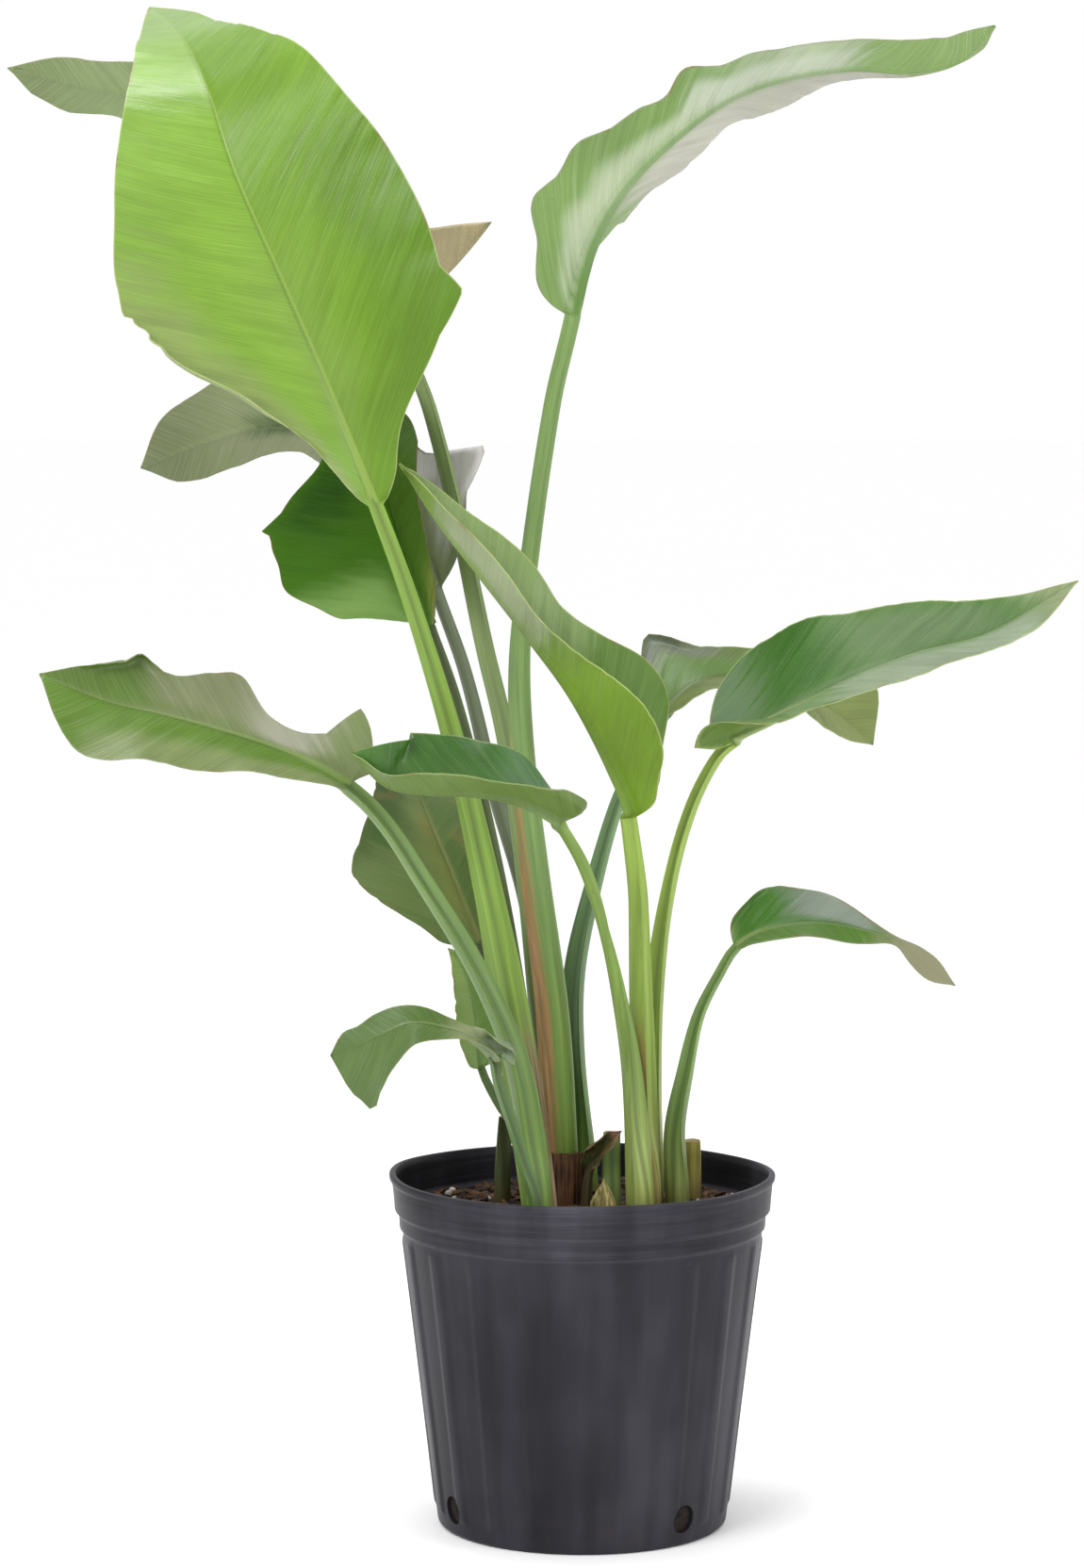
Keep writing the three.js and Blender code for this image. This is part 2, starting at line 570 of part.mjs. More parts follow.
function pot() {
  const outer = [
    [0, 0], [FOOT_RADIUS - 3, 0], [FOOT_RADIUS - 0.4, 2.4], [FOOT_RADIUS + 0.4, fluteFoot],
    [FOOT_RADIUS + 0.8, fluteFoot + 4], [bodyRadius - 0.3, secondFoot - 6], [bodyRadius, secondFoot],
    [secondRadius - 0.4, secondFoot + 1.5], [secondRadius, bandFoot - 1], [bandRadius - 1, bandFoot + 1],
    [bandRadius, bandTop - 3], [RIM_RADIUS, bandTop - 1.5], [RIM_RADIUS, POT_HEIGHT - 1],
    [RIM_RADIUS - 1.2, POT_HEIGHT],
  ];
  const inner = [
    [RIM_RADIUS - LIP_WIDTH + 1, POT_HEIGHT], [RIM_RADIUS - LIP_WIDTH, bandTop - 2],
    [bandRadius - 1 - WALL, bandFoot + 2], [secondRadius - WALL, bandFoot - 1],
    [bodyRadius - WALL, secondFoot], [FOOT_RADIUS - WALL, FLOOR], [0, FLOOR],
  ];
  const ridgeAt = (r, z) => {
    const onFlute = z > fluteFoot + 2 && z < secondFoot - 3 && r > FOOT_RADIUS;
    return onFlute ? RIDGE : 0;
  };
  const drains = DRAIN_ANGLES.map((degrees) => {
    const drain = new THREE.CylinderGeometry(DRAIN_RADIUS, DRAIN_RADIUS, 14, 16);
    drain.translate(0, FOOT_RADIUS, 0);
    drain.rotateZ(Math.PI + radians(degrees));
    drain.translate(0, 0, DRAIN_HEIGHT);
    return closed(drain);
  });
  return cut(turned([...outer, ...inner], ridgeAt), drains);
}

// The soil fills the pot up to its level, with low lumps, and has a plain hole for each stem
function soil(sockets) {
  const [footEdge, topEdge] = [FOOT_RADIUS - WALL, bodyRadius - WALL];
  const wallAt = (z) => THREE.MathUtils.mapLinear(z, FLOOR, secondFoot, footEdge, topEdge) - WALL_GAP;
  const edge = secondRadius - WALL - WALL_GAP;
  const profile = [
    [0, FLOOR + GAP], [wallAt(FLOOR + GAP), FLOOR + GAP], [wallAt(secondFoot), secondFoot],
    [edge, bandFoot - 1], [edge, SOIL_LEVEL - 1],
    ...[0.84, 0.6, 0.3, 0].map((share) => [share * edge, SOIL_LEVEL]),
  ];
  const geometry = turned(profile);
  const p = geometry.getAttribute("position");
  for (let i = 0; i < p.count; i += 1) {
    const [x, y] = [p.getX(i), p.getY(i)];
    const inside = clamp(1 - Math.hypot(x, y) / edge, 0, 0.15) / 0.15;
    if (p.getZ(i) < SOIL_LEVEL - 2) continue;
    p.setZ(i, p.getZ(i) + LUMP * inside * Math.sin(x / 9) * Math.cos(y / 7));
  }
  return cut(geometry, sockets);
}

function bud(grow) {
  const { x, y, radius, flat, height, lean } = BUD;
  const r = radius + grow;
  const foot = ROOT_LEVEL + 8;
  const pointed = [[r, SOIL_LEVEL + 4], [0.85 * r, SOIL_LEVEL + 12], [0, height]];
  const top = grow > 0 ? [[r, height], [0, height]] : pointed;
  const profile = [[0, foot - grow], [r, foot - grow], ...top];
  const geometry = lathe(profile.map(([a, b]) => [a, b - foot]), 12);
  geometry.rotateX(Math.PI / 2);
  geometry.scale(1, flat + (grow * (1 - flat)) / r, 1);
  geometry.rotateX(radians(lean));
  geometry.translate(x, y, foot);
  return geometry;
}

function sheath(grow) {
  const { x, y, radius, wall, height, from, to } = SHEATH;
  const extra = THREE.MathUtils.radToDeg(grow / radius);
  const [a, b] = [radians(from - extra), radians(to + extra)];
  const shape = new THREE.Shape();
  shape.absarc(0, 0, radius + wall + grow, a, b, false);
  shape.absarc(0, 0, radius - grow, b, a, true);
  const foot = ROOT_LEVEL + 6 - grow;
  const settings = { depth: height - foot, bevelEnabled: false, curveSegments: 14 };
  const geometry = closed(new THREE.ExtrudeGeometry(shape, settings));
  geometry.translate(x, y, foot);
  return geometry;
}

function material(colour, roughness) {
  return new THREE.MeshStandardMaterial({ color: COLOURS[colour], roughness, metalness: 0 });
}

// A mesh whose own origin is the middle of its foot
function place(name, geometry, colour, roughness, foot) {
  geometry.translate(-foot[0], -foot[1], -foot[2]);
  geometry.computeVertexNormals();
  const mesh = new THREE.Mesh(geometry, material(colour, roughness));
  mesh.name = name;
  mesh.position.set(...foot);
  return mesh;
}

const plant = new THREE.Group();
const grown = [...Object.entries(LEAVES), ...Object.entries(STUBS)];
const stems = grown.map(([name, data]) => [name, new Leaf(data), data]);
for (const [name, leaf, data] of stems) {
  plant.add(place(name, leaf.geometry(), data.colour, 0.45, data.stalk[0]));
}
plant.add(place("bud_scale", bud(0), "tan", 0.7, [BUD.x, BUD.y, ROOT_LEVEL]));
plant.add(place("old_sheath", sheath(0), "brown", 0.8, [SHEATH.x, SHEATH.y, ROOT_LEVEL]));

const sockets = [...stems.map(([, leaf]) => leaf.socket()), bud(GAP), sheath(GAP)];
const planted = new THREE.Group();
planted.add(place("soil", soil(sockets), "soil", 0.95, [0, 0, FLOOR + GAP]));
planted.add(plant);

const group = new THREE.Group();
group.add(place("pot", pot(), "pot", 0.55, [0, 0, 0]));
group.add(planted);

export default group;
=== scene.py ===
"""Looks of a bird of paradise plant in a fluted nursery pot. Sizes are in millimetres, as in the part."""

import math
import random

import bpy
import numpy as np
from mathutils import Euler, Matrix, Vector, noise


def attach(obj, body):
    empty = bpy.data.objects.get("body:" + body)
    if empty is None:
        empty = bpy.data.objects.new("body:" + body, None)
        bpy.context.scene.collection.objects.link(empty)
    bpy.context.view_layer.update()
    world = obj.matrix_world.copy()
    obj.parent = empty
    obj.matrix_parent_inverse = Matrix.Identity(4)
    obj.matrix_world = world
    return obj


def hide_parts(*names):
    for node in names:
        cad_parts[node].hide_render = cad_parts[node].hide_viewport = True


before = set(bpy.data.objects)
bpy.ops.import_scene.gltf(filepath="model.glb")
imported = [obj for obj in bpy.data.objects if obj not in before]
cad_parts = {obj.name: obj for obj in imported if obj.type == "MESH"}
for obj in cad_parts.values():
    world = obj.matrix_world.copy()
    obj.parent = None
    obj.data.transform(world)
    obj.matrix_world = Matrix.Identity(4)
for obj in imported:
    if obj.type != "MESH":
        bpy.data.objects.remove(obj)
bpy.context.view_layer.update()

MM = 0.001

# Camera
PHOTO_HEIGHT = 1664  # pixels
FOCAL_PIXELS = 4825
CAMERA_PLACE = (-26.8, -3000, 760)
CAMERA_TILT = 5.03  # degrees down
SENSOR = 36

# Light. Places and widths of the lamps, and the floor's radius, are in metres
LIGHT = 1.5  # how bright a plain white surface looks in the middle of the plant
SHEEN = 0.02  # what every surface mirrors of the pale room
FLOOR_RADIUS = 60
FLOOR_SHADES = (0.99, 0.998)
LAMPS_AIM = (0, 0, 0.55)
LAMPS = {
    "key": dict(place=(-1.6, -2.2, 2.5), width=1.5, power=50),
    "overhead": dict(place=(-0.3, 0.2, 2.6), width=0.8, power=22),
    "right": dict(place=(2.3, -1.2, 1.0), width=1.0, power=16),
    "left": dict(place=(-2.3, -1.2, 1.0), width=1.0, power=4),
}

# Colours, as seen in the studio's light, 0 to 255
PLASTIC = ((63, 62, 67), (74, 73, 79))
# painted highlight along the steps of the pot's bands
STEP_HIGHLIGHT = (112, 113, 124)
DUST = (92, 86, 80)
SOIL = ((36, 26, 20), (84, 62, 46))
# painted shade in the pits between the soil's crumbs
SOIL_PIT_SHADE = (24, 16, 12)
EARTH = (108, 90, 60)  # on the stalks' feet
MOTTLE = (146, 124, 70)
SCORCH = (146, 122, 78)
PITH = (116, 96, 62)
SPECK = (124, 104, 64)
BUD_HUSK = ((128, 112, 60), (200, 190, 130))
OLD_HUSK = ((66, 46, 32), (140, 104, 74))

# Pot, as in the part
POT_HEIGHT = 235
RIM_RADIUS = 127
FOOT_RADIUS = 97
WALL = 2.2
FLOOR = 4
LIP_WIDTH = 5
LIP_HEIGHT = 2.5
LIP_REACH = 1.5  # how far the lip stands out over the upper band
UPPER_BAND = 22
LOWER_BAND = 12
BAND_STEP = 2.6
BAND_TAPER = 1.2
FLUTES = 20
FLUTE_FOOT = 9
RIDGE = 1.3
RIDGE_SHARE = 0.2  # half the ridge's share of a flute's width
SQUEEZE = 1.6
SQUEEZE_ANGLE = 20
DRAIN_RADIUS = 9.4
DRAIN_HEIGHT = 18.5
DRAIN_ANGLES = [-60, 42, 120, 222]
BAND_TOP = POT_HEIGHT - LIP_HEIGHT
BAND_FOOT = BAND_TOP - UPPER_BAND
SECOND_FOOT = BAND_FOOT - LOWER_BAND
BAND_RADIUS = RIM_RADIUS - LIP_REACH
SECOND_RADIUS = BAND_RADIUS - BAND_STEP - BAND_TAPER
BODY_RADIUS = SECOND_RADIUS - BAND_STEP

# Pot, finer than in the part
WALL_WARP = 0.35  # height of the wall's five slight bulges
RIM_WAVE = 1.1  # height of the rim's six waves
RIM_LIFT = 3.5  # how much higher the rim's bent corner stands
LIFT_POWER = 9  # how closely the lift keeps to that corner
POT_CORNER = 1.1  # radius of the small curves in the pot's outline
POT_STRETCH = 4  # longest stretch between points of the pot's outline
POT_SIDES = 380

# Soil
SOIL_LEVEL = POT_HEIGHT - 23
ROOT_LEVEL = SOIL_LEVEL - 22
SOIL_GAP = 0.4  # between the soil and the pot
SOIL_RADIUS = SECOND_RADIUS - WALL - SOIL_GAP
SOIL_LUMPS = 2.2
LUMP_SIZE = 34
SOIL_CRUMBS = 1.1
CRUMB_SIZE = 7
SOIL_FALL = 2.5  # how much lower the soil lies at the wall
SOIL_RINGS = 64
SOIL_STRETCH = 6
SOIL_SIDES = 256

# Bits on the soil. sizes are half their widths, flat and long the height and length as shares of the width
# and sunk is how much of the lower half lies in the soil
BITS = {
    "soil_bark": dict(
        skin="bark_bits", dark=(34, 24, 18), light=(126, 90, 62),
        count=620, sizes=(1.2, 3.6), flat=0.45, long=(1.0, 2.6), sunk=0.3, seed=21),
    "soil_perlite": dict(
        skin="perlite_bits", dark=(196, 190, 180), light=(236, 232, 226),
        count=80, sizes=(0.9, 2.5), flat=0.85, long=(1.0, 1.3), sunk=0.2, seed=22),
}

# Leaves
BLADE = 0.75  # thickness of a blade
BLADE_EDGE = 0.6  # width over which a blade thins out at its margin
CHANNEL = 0.22
KEEL = 0.56
STALK_LIFT = 0.36  # how far a stalk's upper side lies above its line, as a share of its girth
LIFT_REACH = 60  # length of stalk below the blade over which that comes in
ROUND_FOOT = (30, 90)  # lengths along a stalk between which its channel begins
RIB_EDGE = 0.3  # how much wider than half its rib every row is at least
RIB_TAPER = 0.8  # share of its thickness that a rib loses towards the tip
BLADE_FOOT = 0.05  # share of a blade over which its foot widens in a curve
LOBE_REACH = 0.2
ROW = 3.2  # distance between rows of points along a blade
ROW_POWER = 1.25  # how much closer those rows lie at its foot
STALK_ROW = 7
RIB_COLUMNS = 8  # columns of points over half the rib
BLADE_COLUMNS = 17  # columns from the rib to near the margin
MARGIN_INSETS = [1.4, 0.6, 0.2, 0.05, 0]  # distances of the last columns from the margin
VEIN_BEND = 0.0012  # how much more a vein leans towards the tip for each millimetre out from the rib
FAN = 1.1  # how much more the veins lean at the foot of the blade
FAN_REACH = 0.16
VEIN_SPACE = 2.4  # distance between the fine veins
THREAD_DRIFT = 0.018  # how fast a thread's shade changes along it, for each millimetre across
SIDE_SHIFT = 431  # keeps the threads of the two sides apart
PLEAT = 19  # distance between the broad folds of a blade
PLEAT_HEIGHT = 0.42
PLEAT_WIDTHS = (8, 30)  # widths of a half blade between which its folds and uneven margin come in
MARGIN_WAVE = 1.1  # height of the uneven waves of a margin
MARGIN_LENGTH = 62  # length of the longest of those waves
MARGIN_SEED = 40
TEAR = 13  # length of the teeth of a torn margin
TEAR_END = 0.03  # share of the blade over which the teeth start and end
SIDES = {  # sign of the places across, start of the waves and seed of the folds
    "left": (-1, 0, 3),
    "right": (1, 0.175, 7),
}
CUT_ROUGHNESS = 0.25
CUT_RINGS = [(0.93, -0.25), (0.7, 0.5), (0.45, 0.2), (0.2, 0.6)]  # share of a cut end's radius, and depth
MARKS = ("place", "along", "shape")  # the surface's three attributes, with three numbers each
CUT = 8  # place of the number among those nine that says that a point lies on a cut end

# Shapes of the leaves, as in the part. stalk and rib are the points of a leaf's line, and face is the way
# that the upper side looks along the rib. girth is the stalk's thickness from the soil up. left and right
# are the widths of the half blades, and peaks widen them: middle, reach and spread. rise is each half's
# angle over the rib in degrees. wave is the blade's waves: height, count and phase. lobe is how far a half
# blade's foot reaches back.
LEAVES = {
    "leaf_front_tall": dict(
        stalk=[(-27, -40, 190), (-29, -40, 225), (-42, -46, 320), (-60, -56, 422), (-82, -68, 522),
               (-108, -84, 612)],
        rib=[(-132, -97, 681), (-160, -106, 752), (-191, -108, 824), (-221, -98, 892), (-240, -72, 946),
             (-257, -22, 979), (-272, 30, 998), (-290, 82, 1012)],
        face=[(0, -1, 0.2), (0, -1, 0.25), (0, -1, 0.35), (-0.1, -0.8, 0.6), (-0.1, -0.5, 0.8),
              (0, -0.35, 0.9)],
        girth=[22, 24, 23, 18, 14, 11, 9],
        left=[8, 25, 54, 91, 99, 79, 60, 42, 29, 16, 0],
        right=[14, 38, 86, 99, 98, 90, 73, 49, 31, 18, 0],
        peaks=dict(left=[(0.37, 6, 0.03)], right=[(0.225, 13, 0.04)]),
        rise=dict(left=[25, 8, 4, 4], right=[30, 12, 8, 4]), wave=(2, 3, 0.1),
    ),
    "leaf_top_right": dict(
        stalk=[(-11, 22, 190), (-12, 22, 240), (-17, 24, 336), (-29, 22, 432), (-38, 20, 514),
               (-40, 18, 584), (-32, 14, 659), (-21, 8, 734)],
        rib=[(-8, 0, 805), (4, 0, 850), (26, 1, 888), (58, 2, 920), (96, 4, 947), (136, 7, 961),
             (176, 8, 966), (212, 5, 964), (245, 0, 970), (268, -5, 993)],
        face=[(-0.6, 0.7, 0.3), (-0.5, 0.75, 0.4), (-0.4, 0.75, 0.5), (-0.2, 0.8, 0.5), (0, 0.8, 0.5)],
        girth=[22, 23, 21, 18, 15, 12, 11, 10],
        left=[8, 14, 40, 50, 50, 49, 38, 24, 5, 7, 0],
        right=[24, 32, 40, 54, 44, 47, 38, 35, 27, 36, 25, 26, 22, 20, 20, 23, 24, 22, 20, 15, 0],
        peaks=dict(left=[(0.96, 8, 0.05)]), rise=dict(left=[30, 30, 30, 35, 40], right=[10, 10, 5, 0, 0]),
        wave=(2.5, 4.5, 0.1),
    ),
    "leaf_right": dict(
        stalk=[(46, 20, 190), (47, 20, 235), (47, 16, 293), (49, 8, 351), (55, -5, 410), (66, -25, 465),
               (83, -45, 512)],
        rib=[(98, -54, 530), (132, -64, 550), (172, -70, 571), (214, -76, 588), (261, -78, 601),
             (318, -75, 634)],
        face=[(-0.3, -0.6, 0.7), (-0.2, -0.75, 0.6), (-0.2, -0.75, 0.6), (-0.2, -0.7, 0.6)],
        girth=[19, 18, 15, 12, 9, 8, 7],
        left=[36, 55, 59, 55, 44, 41, 35, 28, 20, 10, 0],
        right=[16, 28, 12, 24, 26, 26, 26, 25, 21, 17, 0],
        rise=dict(left=[5], right=[110, 60, 25, 25, 25, 25, 25, 25, 25, 25, 25]), wave=(2, 3, 0.1),
        lobe=dict(left=18, right=30),
    ),
    "leaf_middle": dict(
        stalk=[(42, 0, 190), (42, -2, 232), (40, -8, 296), (38, -18, 361), (36, -31, 425)],
        rib=[(33, -45, 478), (20, -56, 512), (-6, -73, 560), (-36, -85, 600), (-66, -92, 638),
             (-94, -95, 674), (-117, -92, 710)],
        face=[(0.9, -0.4, 0.3), (0.8, -0.3, 0.3), (0.8, -0.1, 0.4), (0.8, -0.1, 0.4)],
        girth=[18, 19, 17, 14, 11],
        left=[16, 39, 64, 68, 36, 24, 20, 18, 16, 11, 0],
        right=[14, 34, 53, 53, 38, 30, 32, 30, 23, 14, 0],
        rise=dict(left=[60, 55, 55, 50], right=[50, 55, 60, 60]), wave=(2, 3, 0.1),
        lobe=dict(left=-3, right=-3),
    ),
    "leaf_low_right": dict(
        stalk=[(65, 8, 190), (65, 6, 224), (63, -2, 264), (69, -10, 303), (77, -16, 342), (89, -22, 371)],
        rib=[(100, -28, 391), (118, -34, 403), (145, -40, 409), (172, -44, 407), (203, -48, 398),
             (224, -53, 381), (243, -56, 369)],
        face=[(-0.3, -0.6, 0.7), (0, -0.8, 0.6), (0.2, -0.8, 0.5), (0.3, -0.7, 0.6)],
        girth=[16, 15, 13, 10, 7, 6],
        left=[14, 25, 30, 25, 20, 13, 7, 4, 8, 8, 0],
        right=[8, 10, 11, 13, 15, 14, 9, 4, 9, 9, 0],
        rise=dict(left=[5], right=[10]), wave=(2, 2.5, 0.1),
    ),
    "leaf_left": dict(
        stalk=[(-31, -64, 190), (-32, -64, 235), (-37, -66, 281), (-46, -72, 325), (-60, -80, 362),
               (-78, -88, 398), (-106, -100, 445), (-130, -110, 485)],
        rib=[(-148, -117, 505), (-169, -124, 519), (-199, -131, 532), (-231, -139, 543), (-266, -145, 553),
             (-302, -150, 562), (-342, -152, 579)],
        face=[(0.3, -0.6, 0.7), (0, -0.7, 0.7), (-0.1, -0.7, 0.7), (-0.1, -0.7, 0.7)],
        girth=[18, 18, 17, 15, 13, 12, 11, 10],
        left=[8, 15, 22, 29, 34, 39, 42, 46, 47, 29, 0],
        right=[40, 30, 17, 20, 43, 38, 29, 36, 31, 16, 0],
        peaks=dict(right=[(0.07, 24, 0.06), (0.715, 5, 0.04)]), rise=dict(left=[10, 5, 5], right=[10]),
        wave=(1.5, 3, 0.3), lobe=dict(right=10),
    ),
    "leaf_centre_small": dict(
        stalk=[(38, -22, 190), (36, -24, 236), (31, -28, 312), (23, -38, 364), (13, -52, 409),
               (2, -72, 445), (-8, -92, 470)],
        rib=[(-16, -103, 481), (-42, -118, 495), (-72, -128, 501), (-98, -134, 502), (-125, -138, 507),
             (-147, -135, 528)],
        face=[(0.2, -0.3, 0.9), (0, -0.3, 0.9), (0, -0.35, 0.9), (-0.1, -0.3, 0.9)],
        girth=[19, 17, 14, 11, 8, 8, 7],
        left=[30, 29, 22, 20, 19, 19, 19, 18, 14, 8, 0],
        right=[10, 19, 31, 35, 35, 37, 38, 38, 36, 27, 0],
        rise=dict(left=[50, 60, 75], right=[50, 55, 60]), wave=(2, 2, 0.1), lobe=dict(left=8),
    ),
    "leaf_low_left": dict(
        stalk=[(-30, -84, 190), (-31, -84, 228), (-38, -86, 253), (-47, -92, 285), (-54, -97, 310)],
        rib=[(-58, -103, 330), (-73, -110, 344), (-90, -114, 350), (-110, -116, 353), (-128, -114, 346),
             (-145, -110, 338), (-163, -104, 330)],
        face=[(0.5, -0.7, 0.6), (0, -0.7, 0.7), (0, -0.7, 0.7), (-0.2, -0.8, 0.5), (-0.2, -0.8, 0.4)],
        girth=[8, 8, 8, 7, 6],
        left=[10, 8, 7, 9, 13, 19, 25, 31, 41, 33, 0],
        right=[24, 12, 6, 8, 11, 13, 15, 15, 12, 11, 0],
        peaks=dict(left=[(0.82, 9, 0.05)]), rise=dict(left=[60, 5, 5, 5], right=[50, 5, 5, 5]),
        wave=(1, 2, 0.1), lobe=dict(left=8, right=14),
    ),
    "leaf_low_back": dict(
        stalk=[(-34, -8, 190), (-36, -8, 226), (-46, -10, 267), (-56, -11, 284)],
        rib=[(-67, -12, 308), (-70, -13, 334), (-74, -14, 358), (-80, -14, 376), (-89, -12, 388)],
        face=[(0.3, -0.8, 0.3), (0.2, -0.8, 0.3), (0.1, -0.8, 0.3)],
        girth=[7, 7, 6, 5],
        left=[8, 13, 14, 12, 8, 0],
        right=[12, 18, 20, 18, 12, 0],
        rise=dict(left=[10, 5, 5], right=[10, 5, 5]), wave=(1, 2, 0.1),
    ),
    "leaf_hanging_back": dict(
        stalk=[(-35, 10, 190), (-35, 10, 222), (-36, 12, 274), (-46, 17, 325), (-58, 24, 361)],
        rib=[(-68, 29, 386), (-86, 42, 428), (-102, 65, 463), (-114, 102, 488), (-122, 148, 500),
             (-126, 190, 497)],
        face=[(0.3, -0.8, 0.5), (0.2, -0.8, 0.5), (0.2, -0.6, 0.7), (0.2, -0.5, 0.8)],
        girth=[8, 8, 7, 6, 6],
        left=[24, 40, 60, 67, 50, 36, 28, 24, 18, 11, 0],
        right=[8, 18, 22, 26, 26, 22, 14, 0],
        rise=dict(left=[10, 5, 5], right=[10, 5, 5]), wave=(2, 2, 0.1),
    ),
    "leaf_dark_back": dict(
        stalk=[(-31, 32, 190), (-31, 32, 218), (-35, 36, 302), (-47, 46, 384), (-65, 56, 473),
               (-84, 62, 546)],
        rib=[(-102, 66, 597), (-118, 68, 643), (-132, 70, 689), (-141, 74, 728), (-147, 80, 762)],
        face=[(-0.1, -1, 0.2), (-0.1, -1, 0.3), (0, -0.8, 0.6), (0, -0.3, 0.9)],
        girth=[8, 9, 8, 8, 7, 6],
        left=[34, 52, 66, 84, 84, 84, 68, 42, 30, 17, 0],
        right=[20, 50, 60, 60, 50, 42, 26, 0],
        peaks=dict(left=[(0.535, 10, 0.03)]), rise=dict(left=[5], right=[75, 70, 40]), wave=(2, 2, 0.1),
        lobe=dict(left=-25),
    ),
    "leaf_grey_back": dict(
        stalk=[(-14, 73, 190), (-14, 73, 227), (-20, 74, 317), (-39, 78, 413), (-60, 82, 484),
               (-77, 90, 554)],
        rib=[(-97, 100, 619), (-118, 111, 672), (-145, 124, 708), (-180, 138, 728), (-216, 150, 731),
             (-260, 162, 720), (-306, 171, 702)],
        face=[(0.6, 0.7, 0.4), (0.4, 0.8, 0.4), (0.1, 0.85, 0.5), (-0.2, 0.8, 0.5), (-0.2, 0.8, 0.5)],
        girth=[14, 14, 13, 11, 9, 8],
        left=[6, 34, 50, 36, 43, 48, 48, 45, 39, 28, 0],
        right=[4, 28, 42, 50, 46, 34, 25, 26, 29, 30, 0],
        peaks=dict(left=[(0.225, 31, 0.05)], right=[(0.95, 6, 0.05)]),
        rise=dict(left=[10, 5, 5], right=[10, 10, 5]), wave=(2, 2, 0.1),
    ),
    "leaf_top_left": dict(
        stalk=[(-20, 50, 190), (-20, 50, 230), (-27, 50, 333), (-37, 50, 429), (-50, 54, 518),
               (-66, 58, 587), (-82, 64, 663), (-100, 72, 735)],
        rib=[(-120, 82, 798), (-135, 90, 840), (-155, 102, 880), (-184, 118, 914), (-226, 134, 938),
             (-282, 150, 952), (-339, 164, 964), (-396, 176, 978)],
        face=[(0.8, -0.1, 0.5), (0.7, 0, 0.6), (0.4, 0.3, 0.8), (0, 0.65, 0.7), (-0.1, 0.75, 0.65),
              (-0.1, 0.75, 0.65)],
        girth=[20, 20, 18, 15, 14, 13, 11, 10],
        left=[40, 52, 47, 42, 46, 42, 36, 30, 24, 18, 0],
        right=[40, 55, 60, 62, 60, 54, 42, 30, 23, 28, 0],
        peaks=dict(left=[(0.085, 56, 0.04)], right=[(0.96, 6, 0.04)]),
        rise=dict(left=[55, 50, 25, 10, 5], right=[40, 35, 20, 10, 5]), wave=(2, 2, 0.1),
    ),
    "leaf_right_back": dict(
        stalk=[(4, 58, 190), (3, 58, 231), (-4, 61, 305), (-3, 66, 363), (10, 74, 423), (26, 84, 477),
               (44, 93, 514)],
        rib=[(56, 100, 536), (78, 110, 556), (108, 120, 560), (142, 130, 552), (176, 138, 534),
             (203, 142, 511)],
        face=[(-0.5, -0.6, 0.6), (-0.3, -0.5, 0.8), (0, -0.5, 0.8), (0.3, -0.6, 0.7)],
        girth=[17, 17, 16, 14, 11, 9, 8],
        left=[34, 44, 44, 40, 36, 34, 34, 40, 48, 46, 0],
        right=[20, 24, 27, 31, 34, 36, 34, 31, 27, 20, 0],
        peaks=dict(left=[(0.18, 24, 0.06)]), rise=dict(left=[5], right=[20, 15, 10]), wave=(2, 2, 0.1),
    ),
    "dried_leaf_scrap": dict(
        stalk=[(2, -6, 190), (2, -6, 224)],
        rib=[(4, -6, 238), (10, -8, 248), (17, -11, 257), (26, -13, 266)],
        face=[(-0.5, -0.6, 0.5), (0, -0.8, 0.5)],
        girth=[6, 5],
        left=[6, 9, 10, 7, 0],
        right=[5, 8, 8, 5, 0],
        rise=dict(left=[40], right=[30]), wave=(1.5, 2, 0.1),
    ),
}

STUBS = {
    "cut_stub_green": dict(
        stalk=[(19, 0, 190), (19, 0, 225), (20, -1, 262)], face=[(0.3, -1, 0)], girth=[13, 11]),
    "cut_stub_yellow": dict(
        stalk=[(73, 31, 190), (73, 31, 220), (72, 30, 251)], face=[(-0.3, -1, 0)], girth=[15, 15]),
    "cut_stub_dark": dict(
        stalk=[(-54, 26, 190), (-54, 26, 225), (-51, 27, 268)], face=[(0.4, -1, 0)], girth=[11, 9]),
}

BUD = dict(x=14, y=-26, radius=8.5, flat=0.7, height=238, lean=8)
SHEATH = dict(x=-13, y=26, radius=18.7, wall=1.5, height=248, start=184, end=356)
